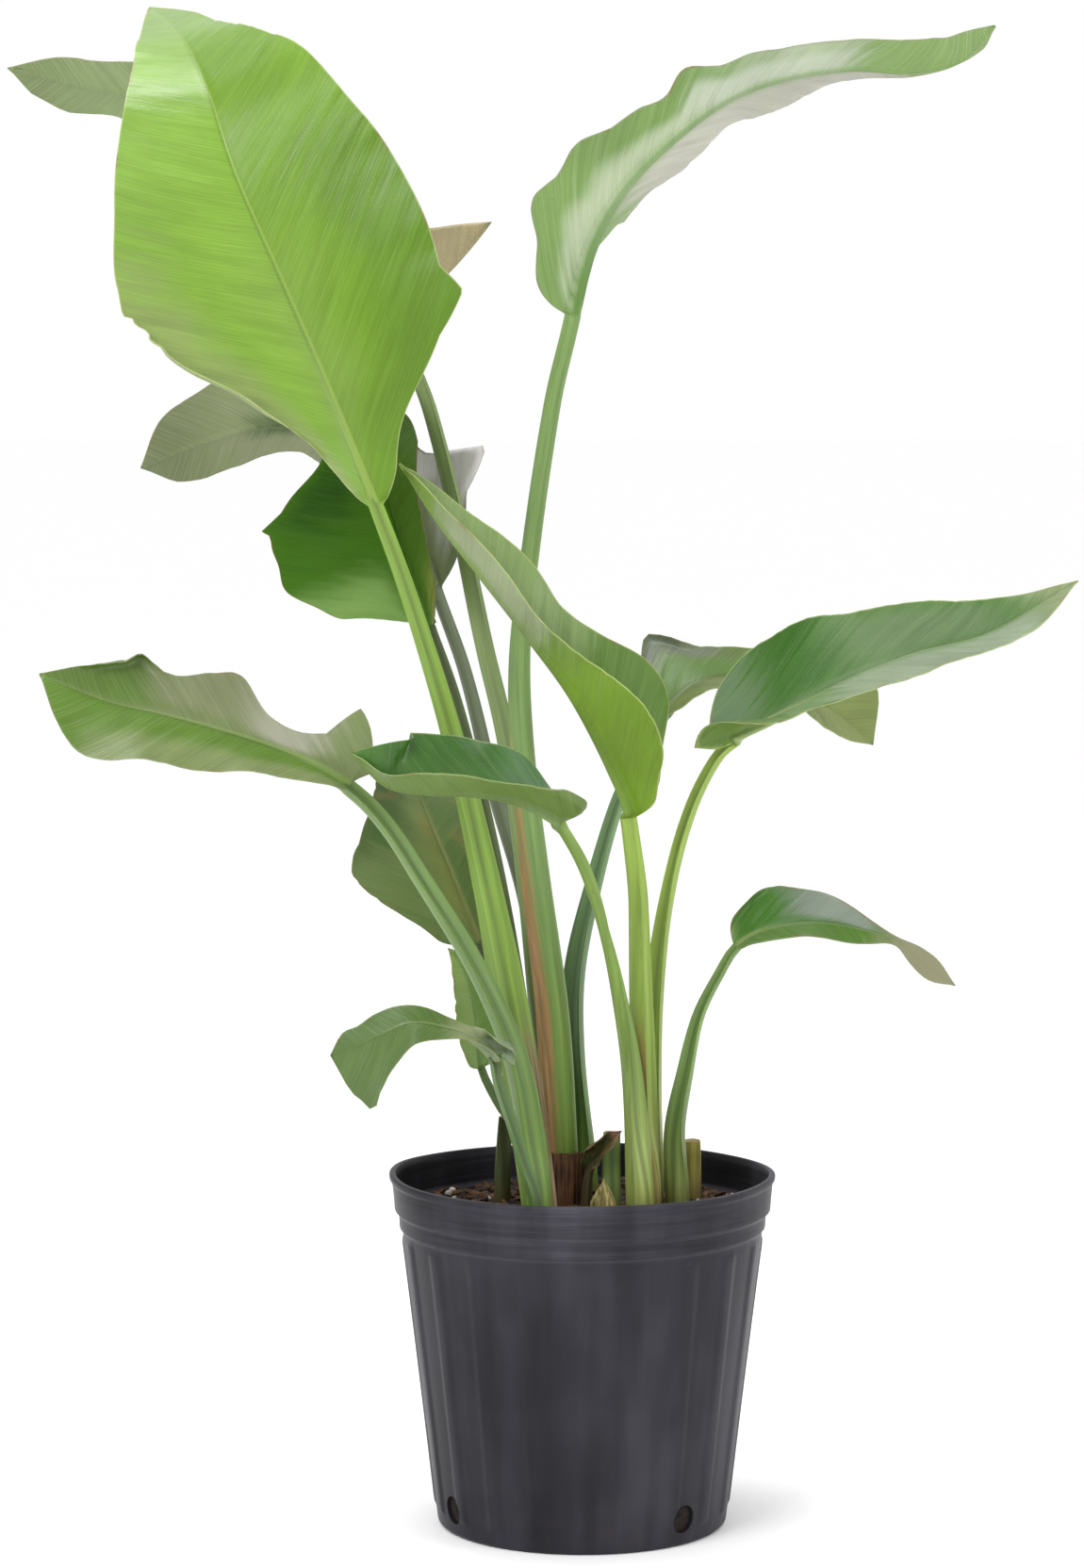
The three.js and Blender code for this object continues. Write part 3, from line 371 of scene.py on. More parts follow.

# Looks of the leaves. Colours are as seen in the studio's light, 0 to 255: the upper side left and right of
# the rib, the underside, the stalk, its foot, the rib, the margin, and a stub's cut end. gloss is the upper
# side's roughness and wax how much it mirrors. lean is how far the veins of the left and right half run
# towards the tip for each millimetre out from the rib. zones are areas of another tone, some of them
# painted
# sheen and one painted shade: colour, strength, from where to where across (-1 to 1) and along (0 to 1).
# streak is the tone and strength of the veins, on leaf_top_right a painted whitish sheen, and mottle the
# strength of brown spots. curls are rolled stretches of the margin: side, middle, spread, width in
# millimetres
# and degrees. ragged are torn ones: side, start, end and depth. dry is the dried margin of a stalk, and tip
# a dried tip.
LOOKS = {
    "leaf_front_tall": dict(
        slot="leaf_bright", left=(137, 179, 68), right=(118, 160, 44), under=(158, 180, 122),
        stalk=(142, 174, 82), foot=(166, 186, 112), rib=(166, 194, 98), margin=(196, 206, 144), gloss=0.36,
        lean=(0.45, 0.8),
        zones=[((140, 172, 82), 0.5, (-0.25, 0.25), (-0.1, 0.4)),
               # darker wedge on the right half: painted shade
               ((104, 144, 24), 0.75, (0.5, 1.4), (0.1, 0.5)),
               ((156, 172, 108), 0.75, (-1.4, -0.66), (0.02, 0.42)),
               # lighter towards the tip, where the blade arches over: painted sheen
               ((148, 176, 112), 0.6, (-1.4, 1.4), (0.78, 1.3))], streak=((160, 192, 100), 0.2),
        curls=[("left", 0.24, 0.16, 6, 150)], ragged=[("left", 0.29, 0.38, 4)],
        dry=dict(side=1, start=-1.5, colour=(208, 172, 138), reach=165), seed=1),
    "leaf_top_right": dict(
        slot="leaf_fresh", left=(130, 168, 76), right=(130, 168, 76), under=(152, 182, 118),
        stalk=(136, 166, 100), foot=(134, 166, 74), rib=(104, 146, 68), margin=(158, 158, 132), gloss=0.42,
        lean=(0.9, 1.1),
        zones=[((136, 172, 92), 0.85, (0.42, 1.4), (-0.1, 0.46)),
               # the next three zones, whitish, are painted sheen
               ((214, 224, 194), 0.7, (0.02, 0.42), (0.06, 0.5)),
               ((222, 230, 210), 0.8, (0.0, 0.62), (0.44, 0.72)),
               ((214, 222, 200), 0.6, (0.5, 1.4), (0.56, 0.72)),
               ((212, 208, 198), 0.85, (-1.4, -0.2), (0.24, 0.84)),
               ((144, 174, 104), 0.85, (-0.1, 1.4), (0.76, 1.3)),
               # the streak at the end is a painted whitish sheen
               ((144, 174, 104), 0.85, (-1.4, 0.1), (0.86, 1.3))], streak=((214, 222, 196), 0.3),
        curls=[("left", 0.14, 0.06, 9, 150)],
        dry=dict(side=1, start=7.0, colour=(192, 142, 96), reach=400), seed=2),
    "leaf_right": dict(
        slot="leaf_deep", left=(98, 135, 72), right=(122, 150, 100), under=(132, 158, 92),
        stalk=(158, 184, 92), foot=(206, 210, 134), rib=(176, 196, 132), margin=(186, 200, 134),
        gloss=0.36, wax=0.26, lean=(1.7, 1.4),
        # grey at the foot of the upper half: painted sheen
        zones=[((124, 148, 116), 0.8, (-1.4, -0.1), (-0.1, 0.1)),
               ((66, 112, 28), 0.9, (-1.4, -0.05), (0.12, 0.34)),
               # grey on the upper half: painted sheen
               ((118, 140, 102), 0.65, (-0.85, -0.08), (0.4, 0.78)),
               ((168, 180, 156), 0.7, (0.08, 1.4), (0.3, 0.86)),
               ((156, 168, 124), 0.8, (-1.4, 1.4), (0.88, 1.3)),
               ((118, 148, 74), 0.85, (0.3, 1.4), (-0.1, 0.14))], streak=((150, 170, 128), 0.3), seed=3),
    "leaf_middle": dict(
        slot="leaf_bright", left=(126, 158, 72), right=(152, 172, 120), under=(126, 158, 66),
        stalk=(160, 188, 90), foot=(210, 210, 136), rib=(136, 166, 78), margin=(186, 200, 124), gloss=0.38,
        lean=(0.8, 0.8),
        zones=[((130, 168, 46), 0.85, (-1.4, 0.05), (-0.1, 0.42)),
               # grey band along the near half: painted sheen
               ((176, 184, 156), 0.75, (-1.4, -0.1), (0.5, 0.86)),
               ((98, 140, 42), 0.8, (0.1, 1.4), (-0.1, 0.42)),
               ((132, 162, 92), 0.6, (0.3, 1.4), (0.42, 1.0))], streak=((158, 186, 98), 0.3),
        dry=dict(side=-1, colour=(178, 148, 92), reach=170), seed=4),
    "leaf_low_right": dict(
        slot="leaf_fresh", left=(74, 124, 22), right=(96, 132, 62), under=(140, 158, 112),
        stalk=(126, 154, 92), foot=(164, 176, 106), rib=(140, 160, 100), margin=(156, 166, 124),
        gloss=0.34, wax=0.24, lean=(0.9, 0.9),
        zones=[((152, 160, 150), 0.85, (-1.4, -0.1), (0.26, 0.62)),
               ((182, 196, 144), 0.75, (-1.4, 1.4), (-0.1, 0.0))], streak=((150, 162, 132), 0.3),
        tip=dict(colour=(156, 156, 124), start=0.56), curls=[("left", 0.1, 0.1, 5, 80)], seed=5),
    "leaf_left": dict(
        slot="leaf_fresh", left=(100, 136, 48), right=(140, 148, 108), under=(128, 152, 112),
        stalk=(120, 148, 86), foot=(134, 168, 80), rib=(144, 172, 96), margin=(160, 166, 128), gloss=0.4,
        lean=(0.7, 0.8),
        zones=[((90, 124, 34), 0.85, (0.0, 1.4), (0.64, 1.3)),
               ((148, 156, 112), 0.6, (-1.4, -0.5), (0.02, 0.8)),
               ((146, 164, 108), 0.85, (0.2, 1.4), (-0.1, 0.12)),
               ((104, 134, 62), 0.6, (0.02, 0.22), (0.05, 0.85)),
               ((184, 184, 166), 0.7, (0.25, 1.4), (0.14, 0.34))], streak=((168, 174, 142), 0.25),
        curls=[("right", 0.78, 0.15, 8, 165)], ragged=[("right", 0.61, 0.66, 6)], seed=6),
    "leaf_centre_small": dict(
        slot="leaf_deep", left=(98, 136, 68), right=(86, 132, 60), under=(118, 144, 76),
        stalk=(134, 162, 84), foot=(184, 200, 114), rib=(132, 156, 96), margin=(164, 180, 122), gloss=0.28,
        lean=(0.9, 0.9),
        zones=[((60, 108, 34), 0.55, (0.5, 1.4), (0.3, 0.9)),
               ((113, 149, 108), 0.7, (0.1, 1.4), (0.04, 0.3))], streak=((138, 160, 104), 0.3),
        curls=[("left", 0.05, 0.1, 7, 100)], seed=7),
    "leaf_low_left": dict(
        slot="leaf_fresh", left=(98, 124, 66), right=(92, 120, 60), under=(138, 154, 116),
        stalk=(104, 132, 80), foot=(96, 120, 66), rib=(150, 168, 112), margin=(144, 158, 108), gloss=0.36,
        lean=(0.7, 0.7),
        zones=[((160, 166, 128), 0.7, (-1.4, 1.4), (0.1, 0.3)),
               ((132, 148, 118), 0.7, (-1.4, 1.4), (-0.1, 0.1))], streak=((146, 162, 116), 0.3),
        curls=[("right", 0.05, 0.12, 10, 150)], seed=8),
    "leaf_low_back": dict(
        slot="leaf_deep", left=(145, 173, 100), right=(120, 152, 80), under=(138, 157, 104),
        stalk=(104, 128, 76), foot=(98, 118, 70), rib=(110, 136, 78), margin=(166, 166, 92), gloss=0.4,
        lean=(0.6, 0.6), streak=((166, 188, 122), 0.35), ragged=[("left", 0.1, 0.9, 1.5)], seed=9),
    "leaf_hanging_back": dict(
        slot="leaf_dull", left=(112, 136, 76), right=(94, 120, 60), under=(116, 128, 92),
        stalk=(100, 110, 74), foot=(92, 98, 66), rib=(134, 140, 84), margin=(126, 122, 82), gloss=0.5,
        lean=(0.6, 0.6), mottle=0.3,
        zones=[((66, 94, 40), 0.75, (-1.4, -0.35), (0.34, 0.7)),
               ((150, 148, 78), 0.6, (-0.16, 0.04), (0.05, 0.5)),
               ((144, 172, 104), 0.7, (-1.4, 1.4), (0.74, 1.3))], streak=((128, 134, 86), 0.3),
        ragged=[("left", 0.1, 0.9, 1.2)], seed=10),
    "leaf_dark_back": dict(
        slot="leaf_deep", left=(84, 132, 18), right=(84, 114, 52), under=(110, 128, 92),
        stalk=(104, 116, 84), foot=(96, 104, 72), rib=(96, 130, 64), margin=(120, 108, 70), gloss=0.34,
        wax=0.14, lean=(0.3, 0.3),
        zones=[((154, 192, 112), 0.8, (-1.4, -0.2), (-0.1, 0.26)),
               ((46, 80, 28), 0.6, (-0.9, -0.3), (0.5, 0.8)),
               ((156, 152, 78), 0.4, (0.6, 1.4), (-0.1, 0.22))], streak=((96, 130, 66), 0.45),
        ragged=[("left", 0.5, 0.56, 2)], seed=11),
    "leaf_grey_back": dict(
        slot="leaf_pale", left=(116, 131, 78), right=(116, 131, 78), under=(150, 162, 116),
        stalk=(126, 136, 110), foot=(108, 116, 84), rib=(132, 144, 104), margin=(134, 138, 106),
        gloss=0.46, lean=(0.8, 0.8),
        zones=[((154, 160, 124), 0.7, (0.1, 1.4), (0.45, 0.8)),
               ((74, 102, 54), 0.9, (-0.3, 0.3), (0.58, 0.68)),
               ((250, 244, 244), 0.95, (-1.4, -0.4), (0.12, 0.34)),
               ((122, 136, 92), 0.6, (-1.4, 1.4), (0.82, 1.3))], streak=((170, 176, 144), 0.62),
        curls=[("left", 0.225, 0.06, 9, 90)], seed=12),
    "leaf_top_left": dict(
        slot="leaf_pale", left=(142, 156, 110), right=(126, 150, 92), under=(152, 172, 118),
        stalk=(139, 159, 103), foot=(124, 146, 76), rib=(128, 142, 98), margin=(150, 150, 112), gloss=0.46,
        lean=(0.8, 0.8),
        zones=[((206, 186, 144), 0.9, (-1.4, -0.3), (-0.1, 0.2)),
               ((126, 142, 92), 0.6, (-1.4, 1.4), (0.88, 1.3))], streak=((178, 186, 148), 0.6),
        curls=[("left", 0.085, 0.05, 9, 70)], seed=13),
    "leaf_right_back": dict(
        slot="leaf_deep", left=(99, 125, 55), right=(109, 127, 59), under=(127, 141, 88),
        stalk=(120, 150, 104), foot=(132, 172, 76), rib=(128, 144, 96), margin=(172, 180, 120), gloss=0.4,
        lean=(0.8, 0.8),
        zones=[((118, 126, 110), 0.85, (-1.4, -0.62), (0.04, 0.32)),
               ((94, 136, 50), 0.85, (-0.62, -0.05), (0.02, 0.4)),
               ((138, 150, 88), 0.7, (-1.4, 1.4), (0.7, 1.3))], streak=((154, 164, 112), 0.5),
        curls=[("left", 0.2, 0.08, 7, 80)], seed=14),
    "dried_leaf_scrap": dict(
        slot="dry_brown", left=(70, 80, 46), right=(96, 92, 60), under=(108, 98, 68), stalk=(92, 84, 58),
        foot=(80, 70, 50), rib=(120, 110, 74), margin=(150, 122, 98), gloss=0.55, mottle=0.6,
        lean=(0.5, 0.5), tip=dict(colour=(170, 130, 108), start=0.7), curls=[("left", 0.5, 0.4, 4, 160)],
        seed=15),
    "cut_stub_green": dict(
        slot="leaf_fresh", stalk=(136, 162, 92), foot=(116, 134, 84), cut=(172, 174, 128), gloss=0.45,
        seed=16),
    "cut_stub_yellow": dict(
        slot="dry_tan", stalk=(160, 152, 80), foot=(126, 108, 64), cut=(186, 168, 112), gloss=0.55,
        seed=17),
    "cut_stub_dark": dict(
        slot="leaf_dull", stalk=(84, 92, 60), foot=(70, 66, 48), cut=(118, 104, 72), gloss=0.55, seed=18),
}


def linear(colour):
    """A colour of 0 to 255 as a linear one."""
    shares = [c / 255 for c in colour]
    return [s / 12.92 if s <= 0.04045 else ((s + 0.055) / 1.055) ** 2.4 for s in shares]


def surface(colour):
    """The surface colour, with alpha, that is seen as this colour of 0 to 255 in the studio's light."""
    return [max(0.003, (c - SHEEN) / LIGHT) for c in linear(colour)] + [1]


def smoothstep(value, low, high):
    x = np.clip((np.asarray(value, float) - low) / (high - low), 0, 1)
    return x * x * (3 - 2 * x)


def mix(a, b, share):
    return a + (b - a) * share


def spline(values, t):
    """Smooth values at t (0 to 1) through evenly spaced numbers or points."""
    v = np.asarray(values, float)
    t = np.asarray(t, float)
    last = len(v) - 1
    if last == 0:
        return np.broadcast_to(v[0], t.shape + v.shape[1:])
    padded = np.concatenate([[2 * v[0] - v[1]], v, [2 * v[-1] - v[-2]]])
    x = np.clip(t, 0, 1) * last
    i = np.minimum(x.astype(int), last - 1)
    f = x - i
    if v.ndim > 1:
        f = f[..., None]
    a, b, c, d = (padded[i + k] for k in range(4))
    return 0.5 * (2 * b + (c - a) * f + (2 * a - 5 * b + 4 * c - d) * f**2 + (3 * b - a - 3 * c + d) * f**3)


def unit(vectors):
    return vectors / np.linalg.norm(vectors, axis=-1, keepdims=True)


def ripple(x, seed):
    """An uneven wave between about -1 and 1, one long and two shorter ones together."""
    draw = random.Random(seed)
    waves = ((1.0, 0.55), (0.61, 0.3), (0.37, 0.15))
    return sum(share * np.sin(2 * math.pi * (x / length + draw.random())) for length, share in waves)


class Line:
    """A smooth line through points, measured along its length."""

    STEPS = 40

    def __init__(self, points):
        self.points = points
        self.shares = np.linspace(0, 1, (len(points) - 1) * self.STEPS + 1)
        placed = spline(points, self.shares)
        self.runs = np.concatenate([[0], np.cumsum(np.linalg.norm(np.diff(placed, axis=0), axis=1))])
        self.length = self.runs[-1]

    def at(self, run):
        return spline(self.points, np.interp(run, self.runs, self.shares))


class Leaf:
    """A leaf or stub as rows of points along its line. t is 0 at the blade's foot and 1 at its tip."""

    def __init__(self, data, look):
        self.data = data
        self.look = look
        self.seed = look["seed"]
        self.has_blade = "rib" in data
        self.line = Line(data["stalk"] + data.get("rib", []))
        self.start = self.line.length
        self.blade = 1
        if self.has_blade:
            self.start = self.line.runs[len(data["stalk"]) * Line.STEPS]
            self.blade = self.line.length - self.start
        stalk = np.linspace(0, self.start, max(8, int(self.start / STALK_ROW)))
        rows = [(stalk - self.start) / self.blade]
        if self.has_blade:
            count = max(30, int(self.blade / ROW))
            rows.append((np.arange(1, count + 1) / count) ** ROW_POWER)
        self.t = np.concatenate(rows)[:, None]

    def girth(self):
        girth = self.data["girth"]
        on_stalk = spline(girth, 1 + self.t * self.blade / self.start)
        if not self.has_blade:
            return on_stalk
        return np.where(self.t < 0, on_stalk, girth[-1] * (1 - RIB_TAPER * np.clip(self.t, 0, 1) ** 0.6))

    def half(self, side):
        """Width of one half of each row, from the middle of the rib to the margin."""
        least = (self.girth() / 2 + RIB_EDGE) * (1 - RIB_TAPER * smoothstep(self.t, 0.9, 1))
        if not self.has_blade:
            return least
        wide = spline(self.data[side], self.t)
        for middle, reach, spread in self.data.get("peaks", {}).get(side, []):
            wide = wide + reach * np.clip(1 - np.abs(self.t - middle) / spread, 0, None)
        for own, low, high, depth in self.look.get("ragged", []):
            if own == side:
                torn = smoothstep(self.t, low, low + TEAR_END)
                torn = torn * (1 - smoothstep(self.t, high - TEAR_END, high))
                teeth = np.clip(ripple(self.t * self.blade / TEAR, self.seed), 0, None)
                wide = wide - depth * torn * teeth
        from_foot = 1 - np.clip(self.t / BLADE_FOOT, 0, 1)
        wide = wide * np.sqrt(1 - from_foot**2)
        return np.where(self.t <= 0, least, np.maximum(least, wide))

    def opened(self, side):
        """How much of a blade a row is: 0 on the stalk and 1 where the blade is wide."""
        girth = self.girth()
        return np.clip((self.half(side) - girth / 2 - RIB_EDGE) / girth, 0, 1)

    def columns(self, side):
        """Distances from the rib of each row's points, out to the margin."""
        half = self.half(side)
        radius = self.girth() / 2
        inner = radius * np.linspace(0, 1, RIB_COLUMNS + 1)[None, :-1]
        shares = 1 - (1 - np.linspace(0, 1, BLADE_COLUMNS + 1)[None, :-1]) ** 1.4
        outer = mix(radius, half - MARGIN_INSETS[0], shares)
        margin = half - np.array(MARGIN_INSETS)[None, :]
        wide = np.concatenate([inner, outer, margin], axis=1)
        narrow = half * np.sin(np.linspace(0, math.pi / 2, wide.shape[1]))[None, :]
        return mix(narrow, wide, smoothstep(self.opened(side), 0.02, 0.3))

    def sheet(self, side, lower):
        """Places of the points of one half of the upper or lower face: across, above and along the rib."""
        t, girth, half, opened = self.t, self.girth(), self.half(side), self.opened(side)
        on_blade = t > 0
        x = self.columns(side)
        u = x / half
        rise = np.radians(spline(self.data["rise"][side], t)) * opened if self.has_blade else 0 * t
        angle = np.where(on_blade, rise, 0)

        # The channel, which fills up to a round where the stalk leaves the soil
        swollen = 1 - smoothstep(self.start + t * self.blade, *ROUND_FOOT)
        groove = np.where(on_blade, CHANNEL * (1 - 0.6 * opened), CHANNEL - (CHANNEL + 0.2) * swollen)
        bow = np.clip(1 - (x / (girth / 2)) ** 2, 0, None)
        lift = STALK_LIFT * girth * smoothstep(-t * self.blade, 0, LIFT_REACH)

        # The blade's thickness and the keel of the rib and stalk below it
        depth = BLADE * np.sqrt(1 - (1 - np.clip((half - x) / BLADE_EDGE, 0, 1)) ** 2)
        keel = girth * (KEEL + CHANNEL - groove) * np.sqrt(bow) * np.where(on_blade, 1 - 0.4 * t, 1)
        off = self.waves(side, x, u) - (depth + keel if lower else 0)

        out, over = self.rolled(side, x, off)
        across = out * np.cos(angle) - over * np.sin(angle)
        above = out * np.sin(angle) + over * np.cos(angle) - groove * girth * bow + lift
        reach = self.data.get("lobe", {}).get(side, 0)
        drawn = np.where(on_blade, reach * u**2 * np.clip(1 - t / LOBE_REACH, 0, None) ** 2 * opened, 0)
        return np.stack([across * SIDES[side][0], above, -drawn], axis=-1)

    def waves(self, side, x, u):
        """Height of the blade's waves, of the broad folds along its veins and of its uneven margin."""
        t = self.t
        _, start, fold_seed = SIDES[side]
        seed = self.seed + fold_seed
        fade = np.where(t > 0, np.clip(t / 0.1, 0, 1) * np.clip((1 - t) / 0.15, 0, 1), 0)
        amount, count, phase = self.data.get("wave", (0, 0, 0))
        turn = count * t + phase + start
        wave = amount * fade * u**2 * np.sin(2 * math.pi * turn)
        folds = PLEAT_HEIGHT * ripple(self.vein(side, x) / PLEAT, seed) * smoothstep(u, 0.08, 0.4)
        margin = MARGIN_WAVE * ripple(t * self.blade / MARGIN_LENGTH, seed + MARGIN_SEED)
        margin = margin * smoothstep(u, 0.55, 1)
        return wave + (folds + margin) * smoothstep(self.half(side), *PLEAT_WIDTHS) * fade

    def rolled(self, side, x, off):
        """How far out and above the rib's plane each point lies, with the margin rolled where it is."""
        out, above, turn = x, 0 * x, 0 * x
        for own, middle, spread, width, degrees in self.look.get("curls", []):
            if own == side:
                strength = np.clip(1 - ((self.t - middle) / spread) ** 2, 0, None) + 1e-4
                bend = math.radians(degrees) * strength / width
                rest = np.clip(x - self.half(side) + width, 0, None)
                out = out - rest + np.sin(bend * rest) / bend
                above = above + (1 - np.cos(bend * rest)) / bend
                turn = turn + bend * rest
        return out - off * np.sin(turn), above + off * np.cos(turn)

    def vein(self, side, x):
        """How far up the rib the vein through each point starts."""
        lean = self.look.get("lean", (0, 0))[side == "right"]
        lean = lean + FAN * np.exp(-np.clip(self.t, 0, 1) / FAN_REACH)
        return self.t * self.blade - lean * x - VEIN_BEND * x**2

    def frame(self):
        """Each row's middle, and the directions forward, up and right there."""
        run = (self.start + self.t * self.blade)[:, 0]
        before, after = np.maximum(run - 4, 0), np.minimum(run + 4, self.line.length)
        forward = unit(self.line.at(after) - self.line.at(before))
        up = spline(self.data["face"], np.clip(self.t[:, 0], 0, 1))
        up = unit(up - np.sum(up * forward, axis=1, keepdims=True) * forward)
        return self.line.at(run), forward, up, np.cross(forward, up)

    def marks(self, side, lower):
        """The nine numbers of the surface's attributes at each point."""
        x = self.columns(side)
        half, girth = self.half(side), self.girth()
        wide = np.ones_like(x)
        rib = 1 - smoothstep(x / (girth / 2), 0.45, 0.95)
        return np.stack([
            SIDES[side][0] * x, self.vein(side, x), half - x,
            (self.start + self.t * self.blade) * wide, np.clip(self.t, -1, 1) * wide, lower * wide,
            rib * wide, self.opened(side) * wide, 0 * wide,
        ], axis=-1)

    def mesh(self):
        """The points of each row, which go round it, and their marks. The margins are in the upper face."""
        ring, marks = [], []
        for lower, first, last, end in ((False, "left", "right", None), (True, "right", "left", -1)):
            places = {side: self.sheet(side, lower) for side in (first, last)}
            signs = {side: self.marks(side, lower) for side in (first, last)}
            middle = (places[first][:, :1] + places[last][:, :1]) / 2
            ring += [places[first][:, 1:end][:, ::-1], middle, places[last][:, 1:end]]
            marks += [signs[first][:, 1:end][:, ::-1], signs["left"][:, :1], signs[last][:, 1:end]]
        ring = np.concatenate(ring, axis=1)
        marks = np.concatenate(marks, axis=1)
        origin, forward, up, right = (v[:, None, :] for v in self.frame())
        points = origin + ring[..., :1] * right + ring[..., 1:2] * up + ring[..., 2:3] * forward
        return (points, marks) if self.has_blade else self.with_cut(points, marks)

    def with_cut(self, points, marks):
        """Adds rows that close a stub's cut end with a slightly sunk, rough face."""
        draw = random.Random(self.seed)
        rim = points[-1]
        middle = rim.mean(axis=0)
        upward = unit(middle - points[-2].mean(axis=0))
        on_cut = marks[-1:].copy()
        on_cut[..., CUT] = 1
        rows = [points]
        for share, sink in CUT_RINGS:
            rough = np.array([draw.uniform(-CUT_ROUGHNESS, CUT_ROUGHNESS) for _ in rim])[:, None]
            rows.append((mix(middle, rim, share) - upward * (sink + rough))[None])
        return np.concatenate(rows), np.concatenate([marks] + [on_cut] * len(CUT_RINGS))


def wall_faces(rows, ring):
    """Faces between rows of points that go round."""
    faces = []
    for row in range(0, (rows - 1) * ring, ring):
        for k in range(ring):
            a, b = row + k, row + (k + 1) % ring
            faces.append((a, b, b + ring, a + ring))
    return faces


def tube_faces(rows, ring):
    """The same faces, with both ends closed by the two points that come after the rows."""
    last = (rows - 1) * ring
    faces = wall_faces(rows, ring)
    for k in range(ring):
        a, b = k, (k + 1) % ring
        faces.append((b, a, last + ring))
        faces.append((last + a, last + b, last + ring + 1))
    return faces


def facing_out(points, faces):
    """The faces turned so that their fronts point out of the closed body."""
    volume = 0
    for face in faces:
        a = points[face[0]]
        for k in range(1, len(face) - 1):
            volume += np.dot(a, np.cross(points[face[k]], points[face[k + 1]]))
    return faces if volume > 0 else [face[::-1] for face in faces]


def make_piece(name, points, faces, material, replaces=(), attributes=None):
    """A shown mesh from points in millimetres, on the part's one body."""
    mesh = bpy.data.meshes.new(name)
    mesh.from_pydata((np.asarray(points) * MM).tolist(), [], faces)
    for key, values in (attributes or {}).items():
        layer = mesh.attributes.new(key, "FLOAT_VECTOR", "POINT")
        layer.data.foreach_set("vector", np.asarray(values, np.float32).ravel())
    mesh.polygons.foreach_set("use_smooth", [True] * len(mesh.polygons))
    mesh.update()
    obj = bpy.data.objects.new(name, mesh)
    bpy.context.scene.collection.objects.link(obj)
    mesh.materials.append(material)
    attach(obj, "root")
    if replaces:
        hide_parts(*replaces)
    return obj


def stem_piece(name, data):
    """A leaf with its stalk, or a cut stub."""
    look = LOOKS[name]
    leaf = Leaf(data, look)
    points, marks = leaf.mesh()
    rows, ring = points.shape[:2]
    ends = [points[0].mean(axis=0), points[-1].mean(axis=0)]
    marks = np.concatenate([marks.reshape(rows * ring, -1), marks[0, :1], marks[-1, :1]])
    points = np.concatenate([points.reshape(-1, 3), ends])
    faces = facing_out(points, tube_faces(rows, ring))
    attributes = {key: marks[:, 3 * k : 3 * k + 3] for k, key in enumerate(MARKS)}
    material = leaf_material(name + "_skin", look, leaf)
    make_piece(name + "_fine", points, faces, material, [name], attributes)


class Value:
    """A number, colour or vector that a material works out at each point of the surface."""

    def __init__(self, nodes, socket):
        self.nodes = nodes
        self.socket = socket

    def __add__(self, other):
        return self.nodes.math("ADD", self, other)

    def __sub__(self, other):
        return self.nodes.math("SUBTRACT", self, other)

    def __rsub__(self, other):
        return self.nodes.math("SUBTRACT", other, self)

    def __mul__(self, other):
        return self.nodes.math("MULTIPLY", self, other)

    def __truediv__(self, other):
        return self.nodes.math("DIVIDE", self, other)

    def __gt__(self, other):
        return self.nodes.math("GREATER_THAN", self, other)

    def __abs__(self):
        return self.nodes.math("ABSOLUTE", self)


